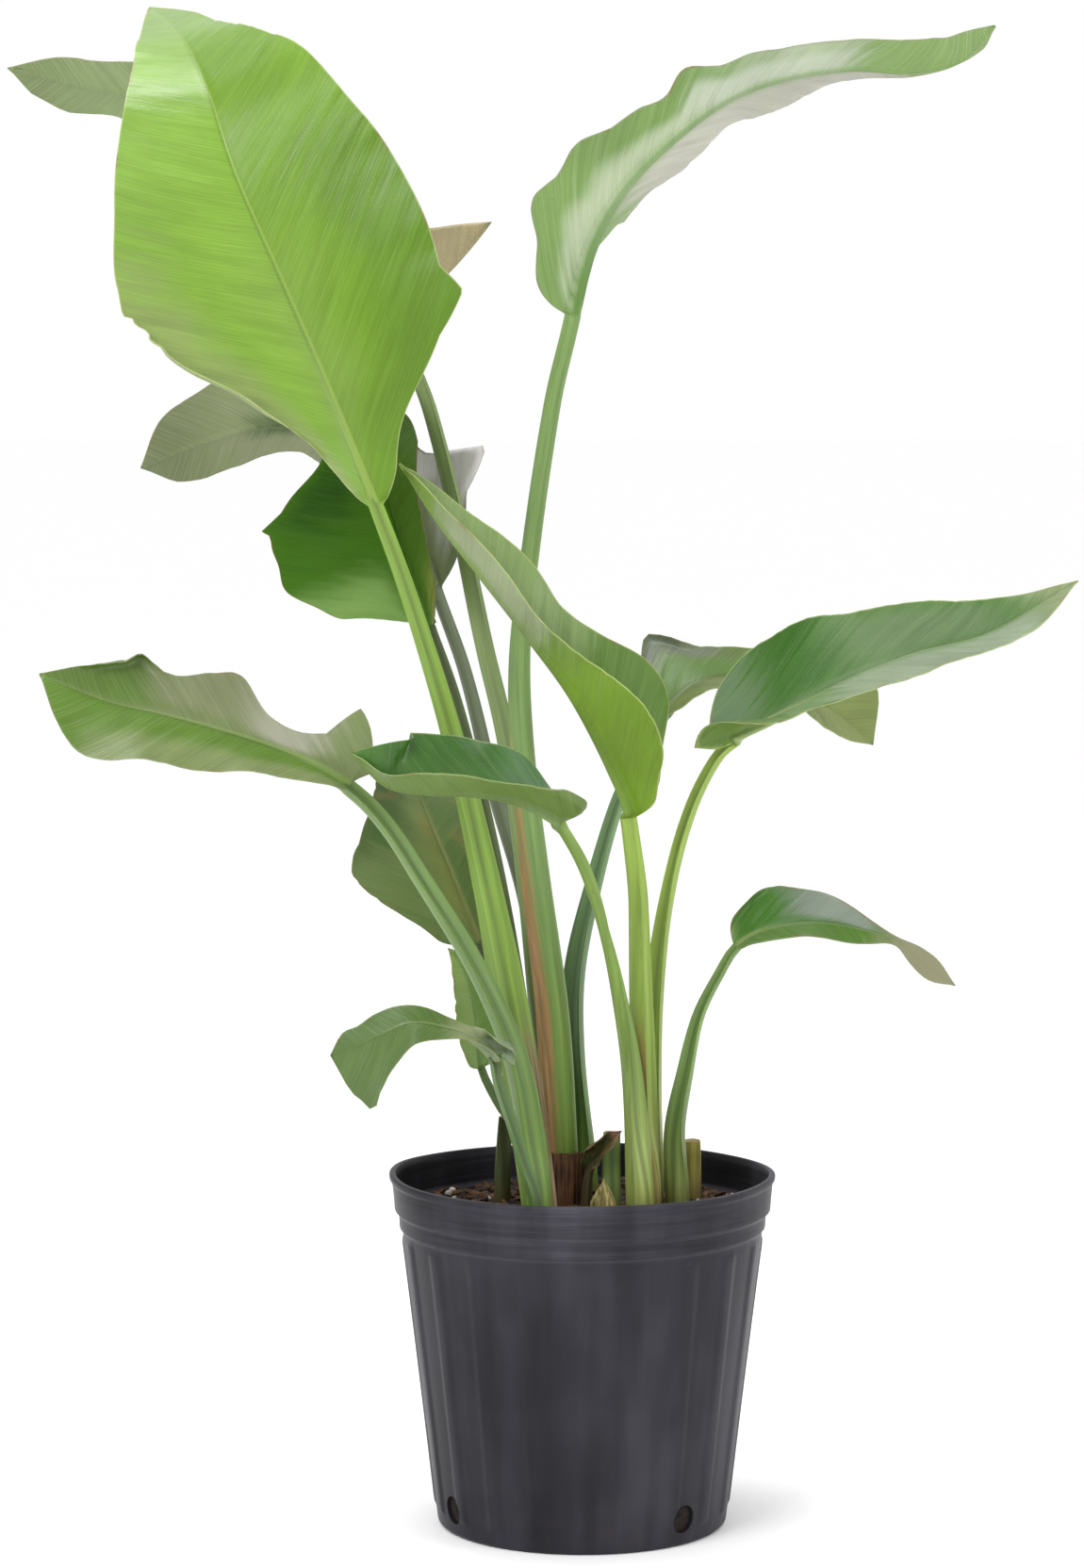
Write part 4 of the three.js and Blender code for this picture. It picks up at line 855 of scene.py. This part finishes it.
class Nodes:
    """Builds a material's nodes. They take Values, numbers and colours, as tuples of 0 to 255."""

    def __init__(self, name):
        self.material = bpy.data.materials.new(name)
        self.material.use_nodes = True
        self.tree = self.material.node_tree
        self.shader = self.tree.nodes["Principled BSDF"]

    def put(self, socket, value):
        if isinstance(value, Value):
            self.tree.links.new(value.socket, socket)
        elif isinstance(value, tuple) and socket.type == "RGBA":
            socket.default_value = surface(value)
        else:
            socket.default_value = value

    def add(self, kind, inputs, *outputs, **settings):
        """Adds a node, fills the inputs, and gives the outputs that are asked for, by name or number."""
        node = self.tree.nodes.new("ShaderNode" + kind)
        for key, value in settings.items():
            setattr(node, key, value)
        for key, value in inputs.items():
            self.put(node.inputs[key], value)
        values = [Value(self, node.outputs[key]) for key in outputs or (0,)]
        return values if len(values) > 1 else values[0]

    def place(self):
        """The place on the object in metres."""
        return self.add("TexCoord", {}, "Object")

    def attribute(self, name):
        return self.add("Attribute", {}, "Vector", attribute_name=name)

    def split(self, vector):
        """The three numbers of a vector."""
        return self.add("SeparateXYZ", {0: vector}, 0, 1, 2)

    def math(self, operation, *values):
        return self.add("Math", dict(enumerate(values)), operation=operation)

    def step(self, value, low, high, to_low=0.0, to_high=1.0):
        """Goes smoothly from to_low at low to to_high at high."""
        inputs = dict(enumerate((value, low, high, to_low, to_high)))
        return self.add("MapRange", inputs, interpolation_type="SMOOTHSTEP")

    def window(self, value, low, high, soft):
        """Goes smoothly from 0 to 1 at low and back to 0 at high."""
        rise = self.step(value, low - soft, low + soft)
        return rise * self.step(value, high - soft, high + soft, 1.0, 0.0)

    def mix(self, share, a, b):
        """The colour a where share is 0 and b where it is 1."""
        return self.add("Mix", {0: share, 6: a, 7: b}, 2, data_type="RGBA")

    def shade(self, colour, amount):
        """The colour made lighter or darker by a factor."""
        return self.add("VectorMath", {0: colour, "Scale": amount}, operation="SCALE")

    def noise(self, place, scale, detail=2.0, roughness=0.5):
        inputs = {"Vector": place, "Scale": scale, "Detail": detail, "Roughness": roughness}
        return self.add("TexNoise", inputs)

    def streaks(self, x, y, z, detail=2.0, roughness=0.5):
        """Noise over three numbers, drawn out along those that change little."""
        return self.noise(self.add("CombineXYZ", {0: x, 1: y, 2: z}), 1.0, detail, roughness)

    def cells(self, place, scale):
        """The distance from the middle of the nearest cell, and a colour for each cell."""
        return self.add("TexVoronoi", {"Vector": place, "Scale": scale}, "Distance", "Color")

    def bump(self, height, strength, distance):
        return self.add("Bump", {"Strength": strength, "Distance": distance, "Height": height})

    def finish(self, colour, roughness, normal=None, **values):
        """Connects the surface and sets the shader's even values, such as Subsurface_Weight."""
        self.put(self.shader.inputs["Base Color"], colour)
        self.put(self.shader.inputs["Roughness"], roughness)
        if normal is not None:
            self.put(self.shader.inputs["Normal"], normal)
        for key, value in values.items():
            self.shader.inputs[key.replace("_", " ")].default_value = value
        return self.material


def blend(share, a, b):
    """The number a where share is 0 and b where it is 1."""
    return (1.0 - share) * a + share * b


def threads(n, vein, across, scale, shift):
    """Uneven lines that follow the veins, with others on each side of the rib."""
    sides = (across > 0.0) * SIDE_SHIFT
    return n.streaks((vein + sides) * scale, across * THREAD_DRIFT, shift, 3.0, 0.6)


def blade_colour(n, look, place, across, edge, reach, under, rib, fine, broad, lines):
    """Colour of the open blade: its areas, veins, blotches, rib, margin and dried tip."""
    share = across / (abs(across) + n.math("MAXIMUM", edge, 0.01))
    share = share + (n.noise(place, 24.0) - 0.5) * 0.35
    stretch = reach + (broad - 0.5) * 0.22
    blade = n.mix(under, n.mix(n.step(across, -1.5, 1.5), look["left"], look["right"]), look["under"])
    for tone, strength, (u_low, u_high), (t_low, t_high) in look.get("zones", []):
        area = n.window(share, u_low, u_high, 0.18) * n.window(stretch, t_low, t_high, 0.07)
        blade = n.mix(area * strength, blade, tone)
    blade = n.shade(blade, n.step(fine, 0.3, 0.7, 0.925, 1.06) + lines * 0.034)
    blade = n.shade(blade, n.step(broad, 0.32, 0.68, 0.93, 1.05))
    if "streak" in look:
        tone, strength = look["streak"]
        patches = n.step(n.noise(place, 15.0), 0.38, 0.62, 0.15, strength)
        blade = n.mix(n.step(fine, 0.46, 0.74) * patches, blade, tone)
    blade = n.shade(blade, n.step(n.noise(place, 13.0, 3.0), 0.35, 0.68, 1.04, 0.9))
    if "mottle" in look:
        spots = n.noise(place, 60.0, 4.0, 0.6)
        blade = n.mix(n.step(spots, 0.5, 0.68, 0.0, look["mottle"]), blade, MOTTLE)

    # The rib is pale at the blade's foot, then a groove with painted shade on one side and a painted
    # highlight on the other, and fades at the tip
    groove = n.mix(n.step(across, -0.7, 0.8), n.shade(blade, 0.78), n.mix(0.55, blade, look["rib"]))
    ribbed = n.mix(n.step(reach, 0.02, 0.3), look["rib"], groove)
    blade = n.mix(rib * n.step(reach, 0.5, 0.95, 0.9, 0.35), blade, ribbed)

    # The margin is a pale line, scorched here and there
    blade = n.mix(n.step(edge, 0.25, 1.1, 0.65, 0.0), blade, look["margin"])
    scorch = n.step(n.noise(place, 34.0, 3.0), 0.56, 0.7) * n.step(edge, 0.3, 2.0, 0.7, 0.0)
    blade = n.mix(scorch, blade, SCORCH)
    if "tip" in look:
        start = look["tip"]["start"]
        blade = n.mix(n.step(stretch, start, start + 0.2), blade, look["tip"]["colour"])
    return blade


def dry_margin(n, stalk, dry, across, run, fibre):
    """The dried, fibrous margin of the sheath along one side of the lower stalk."""
    start = dry.get("start", 1.5)
    band = n.step(across * dry["side"] + (fibre - 0.5) * 9.0, start, start + 2.5)
    fades = n.step(run, 0.7 * dry["reach"], dry["reach"], 0.85, 0.0)
    shadow = tuple(0.7 * value for value in dry["colour"])
    tone = n.mix(n.step(fibre, 0.34, 0.6), shadow, dry["colour"])
    return n.mix(band * fades, stalk, tone)


def leaf_material(name, look, leaf):
    """Waxy leaf: veins side by side, a pale rib, a fine margin line and a streaked stalk."""
    n = Nodes(name)
    across, vein, edge = n.split(n.attribute("place"))
    run, reach, under = n.split(n.attribute("along"))
    rib, opened, cut = n.split(n.attribute("shape"))
    place = n.place()

    # Streaks along the stalk and its colour from the soil up
    fibre = n.streaks(across * 0.8, under * 4.0, run * 0.01, 4.0, 0.65)
    stalk = n.mix(n.step(run, 10.0, 0.45 * leaf.start), look["foot"], look["stalk"])
    stalk = n.shade(stalk, n.step(fibre, 0.3, 0.7, 0.81, 1.23))
    # Painted shade along the channel of the upper side, and painted highlights along its ridges
    away = abs(across)
    channel = n.step(away, 0.4, 2.0, 0.27, 0.0) * (1.0 - under)
    ridge = n.window(away, 3.0, 5.2, 1.2) * 0.22
    stalk = n.shade(stalk, 1.0 - channel + ridge)
    if "dry" in look:
        stalk = dry_margin(n, stalk, look["dry"], across, run, fibre)
    colour = n.mix(n.step(run, 14.0, 46.0, 0.7, 0.0), stalk, EARTH)
    relief = fibre * 0.4
    gloss = look["gloss"]
    rough = n.step(fibre, 0.2, 0.8, gloss + 0.02, gloss + 0.14)

    if leaf.has_blade:
        fine = threads(n, vein, across, 0.6, 2.0)
        broad = threads(n, vein, across, 0.09, 5.0)
        lines = n.math("SINE", vein * (2 * math.pi / VEIN_SPACE) + (fine * 5.0 + broad * 9.0))
        blade = blade_colour(n, look, place, across, edge, reach, under, rib, fine, broad, lines)
        shown = n.step(opened, 0.05, 0.6)
        colour = n.mix(shown, colour, blade)
        relief = relief + (lines * 0.04 + fine * 0.35 + broad * 2.2) * shown
        waxy = n.step(under, 0.0, 1.0, gloss, gloss + 0.14) + n.step(broad, 0.25, 0.75, -0.05, 0.07)
        rough = blend(shown, rough, waxy)
    if "cut" in look:
        rings = n.noise(place, 900.0)
        colour = n.mix(cut, colour, n.mix(n.step(rings, 0.4, 0.65), look["cut"], PITH))

    distance, tint = n.cells(place, 150.0)
    speck = n.step(distance, 0.08, 0.2, 0.4, 0.0) * (tint > 0.94)
    colour = n.mix(speck, colour, SPECK)
    relief = relief + n.noise(place, 1500.0) * 0.03
    return n.finish(colour, rough, n.bump(relief, 0.4, 0.0006), Specular_IOR_Level=look.get("wax", 0.36),
                    Subsurface_Weight=0.1, Subsurface_Radius=(0.7, 1.0, 0.25), Subsurface_Scale=0.0012)


def pot_material():
    """Black moulded plastic: low sheen, faint flow marks, painted highlights, a little dust near the foot.
    """
    n = Nodes("pot_plastic")
    place = n.place()
    x, y, z = n.split(place)
    flow = n.streaks(x * 60.0, y * 60.0, z * 5.0)
    # broad streaks up the wall, lighter and darker at random: painted soft highlights
    painted_light_streaks = n.streaks(x * 26.0, y * 26.0, z * 1.2)
    cloud = n.noise(place, 9.0, 3.0)
    colour = n.mix(n.step(cloud, 0.35, 0.7), *PLASTIC)
    colour = n.shade(colour, n.step(flow, 0.3, 0.7, 0.86, 1.14))
    colour = n.shade(colour, n.step(painted_light_streaks, 0.35, 0.65, 0.78, 1.2))

    # The bands are darker and scuffed, with a painted highlight in front and painted highlights along their
    # steps
    bands = n.step(z, (SECOND_FOOT - 2) * MM, (SECOND_FOOT + 4) * MM)
    # front: a painted highlight on the bands
    front = n.window(x, -0.05, 0.05, 0.04) * n.step(y, -0.08, 0.0, 1.0, 0.0)
    scuffs = n.streaks(x * 12.0, y * 12.0, z * 330.0, 3.0, 0.6)
    colour = n.shade(colour, blend(bands, 1.0, front * 0.45 + 0.8))
    colour = n.shade(colour, blend(bands, 1.0, n.step(scuffs, 0.32, 0.68, 0.8, 1.24)))
    # Painted highlights along the bands' steps
    for step in (BAND_FOOT, SECOND_FOOT):
        step_highlight = n.window(z, (step - 1.5) * MM, (step + 0.8) * MM, 1.2 * MM) * 0.2
        colour = n.mix(step_highlight, colour, STEP_HIGHLIGHT)

    dust = n.step(z, 0.002, 0.06, 0.15, 0.0) * n.step(n.noise(place, 55.0, 4.0), 0.45, 0.7)
    colour = n.mix(dust, colour, DUST)
    normal = n.bump(n.noise(place, 1400.0) * 0.4 + flow, 0.18, 0.0003)
    rough = n.step(cloud, 0.3, 0.7, 0.38, 0.46) + dust * 0.3
    return n.finish(colour, rough, normal, Specular_IOR_Level=0.1)


def soil_material():
    """Damp dark potting mix, darker towards the floor of the pot."""
    n = Nodes("potting_mix")
    place = n.place()
    height = n.split(place)[2]
    coarse = n.noise(place, 120.0, 5.0, 0.65)
    crumbs = n.cells(place, 420.0)[0]
    colour = n.mix(n.step(coarse, 0.35, 0.7), *SOIL)
    colour = n.shade(colour, n.step(height, 0.05, 0.17, 0.35, 1.0))
    # Darker in the pits of the crumbs: painted shade
    colour = n.mix(n.step(crumbs, 0.1, 0.6, 0.35, 0.0), colour, SOIL_PIT_SHADE)
    normal = n.bump(coarse + crumbs * 0.5, 0.8, 0.0012)
    return n.finish(colour, n.step(coarse, 0.3, 0.7, 0.95, 0.7), normal, Specular_IOR_Level=0.3)


def bit_material(name, dark, light):
    """Small bits, each with its own shade."""
    n = Nodes(name)
    place = n.place()
    grain = n.noise(place, 700.0, 3.0, 0.6)
    colour = n.mix(n.cells(place, 130.0)[1], dark, light)
    colour = n.shade(colour, n.step(grain, 0.3, 0.7, 0.8, 1.15))
    return n.finish(colour, 0.75, n.bump(grain, 0.5, 0.0004), Specular_IOR_Level=0.3)


def husk_material(name, dark, light):
    """Dry fibres that run upwards."""
    n = Nodes(name)
    place = n.place()
    x, y, z = n.split(place)
    fibre = n.streaks(x * 520.0, y * 520.0, z * 26.0, 3.0)
    colour = n.mix(n.step(fibre, 0.35, 0.65), dark, light)
    colour = n.shade(colour, n.step(n.noise(place, 90.0, 3.0), 0.3, 0.7, 0.75, 1.15))
    rough = n.step(fibre, 0.3, 0.7, 0.6, 0.8)
    return n.finish(colour, rough, n.bump(fibre, 0.6, 0.0007), Specular_IOR_Level=0.35)


def squeeze(angle, z):
    """How far the pot is pressed out of round, more towards its rim."""
    return SQUEEZE * np.cos(2 * (angle - math.radians(SQUEEZE_ANGLE))) * (z / POT_HEIGHT) ** 3


def rounded(corners, radius):
    """The outline with each inner corner turned into a small curve."""
    steps = 4
    points = [np.array(corners[0], float)]
    for before, corner, after in zip(corners, corners[1:], corners[2:]):
        p, a, b = (np.array(v, float) for v in (corner, before, after))
        r = min(radius, 0.45 * np.linalg.norm(a - p), 0.45 * np.linalg.norm(b - p))
        start, end = p + unit(a - p) * r, p + unit(b - p) * r
        for k in range(steps + 1):
            s = k / steps
            points.append((1 - s) ** 2 * start + 2 * s * (1 - s) * p + s**2 * end)
    points.append(np.array(corners[-1], float))
    return points


def divided(points, longest):
    """The outline with its long stretches split."""
    result = [points[0]]
    for a, b in zip(points, points[1:]):
        count = max(1, math.ceil(np.linalg.norm(b - a) / longest))
        result += [mix(a, b, (k + 1) / count) for k in range(count)]
    return result


def turned(profile, sides, radius_at):
    """A closed body round the axis, on which its outline starts and ends."""
    angles = np.arange(sides) * 2 * math.pi / sides
    points = []
    for r, z in profile[1:-1]:
        around = radius_at(r, z, angles)
        points += [(a * math.cos(q), a * math.sin(q), z) for a, q in zip(around, angles)]
    points += [(0, 0, profile[0][1]), (0, 0, profile[-1][1])]
    points = np.array(points)
    return points, facing_out(points, tube_faces(len(profile) - 2, sides))


def pot_radius(r, z, angles):
    """The wall's radius round the pot: ridges between the flutes, and a rim a little out of round."""
    turn = angles * FLUTES / (2 * math.pi)
    from_ridge = np.abs(turn - np.round(turn))
    ridge = RIDGE * (1 - smoothstep(from_ridge, 0.35 * RIDGE_SHARE, 1.15 * RIDGE_SHARE))
    outside = r > mix(FOOT_RADIUS, BODY_RADIUS, (z - FLOOR) / (SECOND_FOOT - FLOOR)) - 1
    ends = smoothstep(z, FLUTE_FOOT + 1, FLUTE_FOOT + 6)
    ends = ends * (1 - smoothstep(z, SECOND_FOOT - 9, SECOND_FOOT - 3))
    warp = WALL_WARP * np.sin(5 * angles + 1) * (z / POT_HEIGHT) ** 2
    warp = warp + RIM_WAVE * np.sin(6 * angles + 0.4) * smoothstep(z, SOIL_LEVEL + 3, POT_HEIGHT)
    return r + ridge * ends * (1 if outside else 0) + (squeeze(angles, z) + warp) * r / RIM_RADIUS


def make_pot():
    """The pot with its bands, lip and flutes, one corner of the rim bent up, and the drain holes."""
    outer = [
        (0, 0), (FOOT_RADIUS - 3, 0), (FOOT_RADIUS - 0.4, 2.4), (FOOT_RADIUS + 0.4, FLUTE_FOOT),
        (FOOT_RADIUS + 0.8, FLUTE_FOOT + 4), (BODY_RADIUS - 0.3, SECOND_FOOT - 6),
        (BODY_RADIUS, SECOND_FOOT), (SECOND_RADIUS - 0.4, SECOND_FOOT + 1.5),
        (SECOND_RADIUS, BAND_FOOT - 1), (BAND_RADIUS - 1, BAND_FOOT + 1), (BAND_RADIUS, BAND_TOP - 3),
        (RIM_RADIUS, BAND_TOP - 1.5), (RIM_RADIUS, POT_HEIGHT - 1), (RIM_RADIUS - 1.2, POT_HEIGHT),
    ]
    inner = [
        (RIM_RADIUS - LIP_WIDTH + 1, POT_HEIGHT), (RIM_RADIUS - LIP_WIDTH, BAND_TOP - 2),
        (BAND_RADIUS - 1 - WALL, BAND_FOOT + 2), (SECOND_RADIUS - WALL, BAND_FOOT - 1),
        (BODY_RADIUS - WALL, SECOND_FOOT), (FOOT_RADIUS - WALL, FLOOR), (0, FLOOR),
    ]
    profile = divided(rounded(outer + inner, POT_CORNER), POT_STRETCH)
    points, faces = turned(profile, POT_SIDES, pot_radius)
    at_corner = np.maximum(0, -np.cos(np.arctan2(points[:, 1], points[:, 0]) + 0.1)) ** LIFT_POWER
    points[:, 2] += RIM_LIFT * at_corner * smoothstep(points[:, 2], SECOND_FOOT, POT_HEIGHT)
    pot = make_piece("pot_fine", points, faces, pot_material(), ["pot"])
    for degrees in DRAIN_ANGLES:
        drill(pot, degrees)
    pot.data.set_sharp_from_angle(angle=math.radians(50))


def drill(pot, degrees):
    """Cuts one drain hole through the wall near the foot."""
    angle = math.radians(degrees) - math.pi / 2
    way = Vector((math.cos(angle), math.sin(angle), 0))
    bpy.ops.mesh.primitive_cylinder_add(vertices=48, radius=DRAIN_RADIUS * MM, depth=20 * MM)
    tool = bpy.context.object
    tool.rotation_mode = "QUATERNION"
    tool.rotation_quaternion = way.to_track_quat("Z", "Y")
    tool.location = way * FOOT_RADIUS * MM + Vector((0, 0, DRAIN_HEIGHT * MM))
    cutter = pot.modifiers.new("drain", "BOOLEAN")
    cutter.operation = "DIFFERENCE"
    cutter.solver = "MANIFOLD"
    cutter.object = tool
    bpy.context.view_layer.objects.active = pot
    bpy.ops.object.modifier_apply(modifier=cutter.name)
    bpy.data.objects.remove(tool)


def soil_height(x, y):
    """The uneven top of the soil, a little lower at the wall."""
    lumps = noise.fractal(Vector((x / LUMP_SIZE, y / LUMP_SIZE, 3)), 0.8, 2.1, 4)
    crumbs = noise.fractal(Vector((x / CRUMB_SIZE, y / CRUMB_SIZE, 9)), 0.7, 2.1, 4)
    at_wall = smoothstep(math.hypot(x, y), 0.86 * SOIL_RADIUS, SOIL_RADIUS)
    return SOIL_LEVEL + SOIL_LUMPS * lumps + SOIL_CRUMBS * crumbs - SOIL_FALL * float(at_wall)


def make_soil():
    """The soil fills the pot, with a crumbly top."""
    def wall_at(z):
        share = (z - FLOOR) / (SECOND_FOOT - FLOOR)
        return mix(FOOT_RADIUS - WALL, BODY_RADIUS - WALL, share) - SOIL_GAP

    foot = FLOOR + SOIL_GAP
    side = [
        (0, foot), (wall_at(FLOOR), foot), (wall_at(SECOND_FOOT), SECOND_FOOT),
        (SOIL_RADIUS, BAND_FOOT - 1), (SOIL_RADIUS, SOIL_LEVEL - 2),
    ]
    top = [(SOIL_RADIUS * (1 - k / SOIL_RINGS), SOIL_LEVEL) for k in range(SOIL_RINGS + 1)]
    profile = divided([np.array(p, float) for p in side], SOIL_STRETCH) + [np.array(p, float) for p in top]
    points, faces = turned(profile, SOIL_SIDES, lambda r, z, q: r + squeeze(q, z) * r / RIM_RADIUS)
    for point in points:
        if point[2] > SOIL_LEVEL - 1:
            point[2] = soil_height(point[0], point[1])
    make_piece("soil_fine", points, faces, soil_material(), ["soil"])


def pebble():
    """A round body of 42 points for the small bits."""
    bpy.ops.mesh.primitive_ico_sphere_add(subdivisions=2, radius=1)
    ball = bpy.context.object
    points = np.array([v.co for v in ball.data.vertices])
    faces = [tuple(p.vertices) for p in ball.data.polygons]
    bpy.data.objects.remove(ball)
    return points, faces


def scatter(name, skin, dark, light, count, sizes, flat, long, sunk, seed):
    """Small rough pebbles, made flat and long, that lie on the soil clear of the stems, as one piece."""
    draw = random.Random(seed)
    stems = [(d["stalk"][0][:2], d["girth"][0]) for d in (*LEAVES.values(), *STUBS.values())]
    stems.append(((BUD["x"], BUD["y"]), 2 * BUD["radius"]))
    stems.append(((SHEATH["x"], SHEATH["y"]), 2 * SHEATH["radius"] + 4))
    shape, shape_faces = pebble()
    points, faces = [], []
    while len(points) < count * len(shape):
        radius = (SOIL_RADIUS - 4) * math.sqrt(draw.random())
        angle = draw.uniform(0, 2 * math.pi)
        size = draw.uniform(*sizes)
        x, y = radius * math.cos(angle), radius * math.sin(angle)
        if any(math.hypot(x - foot[0], y - foot[1]) < girth / 2 + size for foot, girth in stems):
            continue
        lengths = np.array([size * draw.uniform(*long), size, size * flat])
        rough = np.array([[draw.uniform(0.78, 1.2) for _ in range(3)] for _ in shape])
        turn = Euler((draw.uniform(-0.5, 0.5), draw.uniform(-0.5, 0.5), draw.uniform(0, 6.3))).to_matrix()
        place = np.array([x, y, soil_height(x, y) + size * flat * (1 - sunk)])
        faces += [tuple(len(points) + i for i in face) for face in shape_faces]
        points += list((shape * rough * lengths) @ np.array(turn).T + place)
    make_piece(name, points, faces, bit_material(skin, dark, light))


def make_bud():
    """A short bud of three scales that overlap."""
    rows, ring, scales = 26, 40, 3
    foot = ROOT_LEVEL + 8
    points = []
    for i in range(rows):
        t = i / (rows - 1)
        body = BUD["radius"] * (1 - smoothstep(t, 0.5, 1.02)) ** 0.8
        for k in range(ring):
            q = 2 * math.pi * k / ring
            scale = (q * scales / (2 * math.pi) + 0.8 * t) % 1
            r = body * (1 + 0.1 * scale * float(smoothstep(t, 0.2, 0.5)))
            height = mix(foot, BUD["height"], t) - foot
            points.append((r * math.cos(q), r * math.sin(q) * BUD["flat"], height))
    points += [(0, 0, 0), (0, 0, BUD["height"] - foot)]
    turn = np.array(Euler((math.radians(BUD["lean"]), 0, 0)).to_matrix())
    points = np.array(points) @ turn.T + np.array([BUD["x"], BUD["y"], foot])
    faces = facing_out(points, tube_faces(rows, ring))
    material = husk_material("bud_husk", *BUD_HUSK)
    make_piece("bud_scale_fine", points, faces, material, ["bud_scale"])


def make_sheath():
    """An old sheath, cut off straight, as an open shell with a slightly torn edge."""
    columns, rows = 120, 16
    start, end = math.radians(SHEATH["start"]), math.radians(SHEATH["end"])
    foot = ROOT_LEVEL + 6
    angles = [mix(start, end, k / columns) for k in range(columns + 1)]
    outline = [(q, SHEATH["wall"] + 0.25 * float(ripple(k / 14, 5))) for k, q in enumerate(angles)]
    outline += [(q, 0.0) for q in reversed(angles)]
    points = []
    for i in range(rows):
        t = i / (rows - 1)
        for q, out in outline:
            torn = 0.7 * float(ripple(q * 1.9, 8)) * t
            z = mix(foot, SHEATH["height"] - 0.7 + torn, t)
            r = SHEATH["radius"] + out
            points.append((SHEATH["x"] + r * math.cos(q), SHEATH["y"] + r * math.sin(q), z))
    ring = len(outline)
    faces = wall_faces(rows, ring)
    for first, way in ((0, -1), ((rows - 1) * ring, 1)):
        for k in range(columns):
            a, d = first + k, first + ring - 1 - k
            faces.append((a, a + 1, d - 1, d)[::way])
    points = np.array(points)
    faces = facing_out(points, faces)
    material = husk_material("old_husk", *OLD_HUSK)
    sheath = make_piece("old_sheath_fine", points, faces, material, ["old_sheath"])
    sheath.data.set_sharp_from_angle(angle=math.radians(40))


def make_stage():
    """Pale floor, soft light all round, and soft lamps."""
    bpy.ops.mesh.primitive_circle_add(vertices=128, radius=FLOOR_RADIUS, fill_type="NGON")
    floor = bpy.context.object
    floor.name = "floor"
    n = Nodes("floor_paint")
    shades = [[shade, shade, shade, 1] for shade in FLOOR_SHADES]  # lists are colours as they are
    tone = n.mix(n.noise(n.place(), 3.0), *shades)
    floor.data.materials.append(n.finish(tone, 0.9, Specular_IOR_Level=0.1))
    world = bpy.data.worlds.new("studio")
    world.use_nodes = True
    background = world.node_tree.nodes["Background"]
    background.inputs["Color"].default_value = (1, 1, 1, 1)
    background.inputs["Strength"].default_value = 1.0
    bpy.context.scene.world = world
    for name, lamp in LAMPS.items():
        soft_lamp(name, **lamp)


def soft_lamp(name, place, width, power):
    data = bpy.data.lights.new(name, "AREA")
    data.shape = "SQUARE"
    data.size = width
    data.energy = power
    lamp = bpy.data.objects.new(name, data)
    lamp.location = place
    lamp.rotation_mode = "QUATERNION"
    lamp.rotation_quaternion = (Vector(LAMPS_AIM) - Vector(place)).to_track_quat("-Z", "Y")
    bpy.context.scene.collection.objects.link(lamp)


def make_camera():
    data = bpy.data.cameras.new("camera")
    data.sensor_width = SENSOR
    data.lens = FOCAL_PIXELS / PHOTO_HEIGHT * SENSOR
    data.clip_end = 200
    camera = bpy.data.objects.new("camera", data)
    camera.location = Vector(CAMERA_PLACE) * MM
    camera.rotation_euler = (math.radians(90 - CAMERA_TILT), 0, 0)
    bpy.context.scene.collection.objects.link(camera)
    bpy.context.scene.camera = camera


make_camera()
make_stage()
bpy.context.scene.view_settings.view_transform = "Standard"
make_pot()
make_soil()
for name, bits in BITS.items():
    scatter(name, **bits)
for name, data in (*LEAVES.items(), *STUBS.items()):
    stem_piece(name, data)
make_bud()
make_sheath()
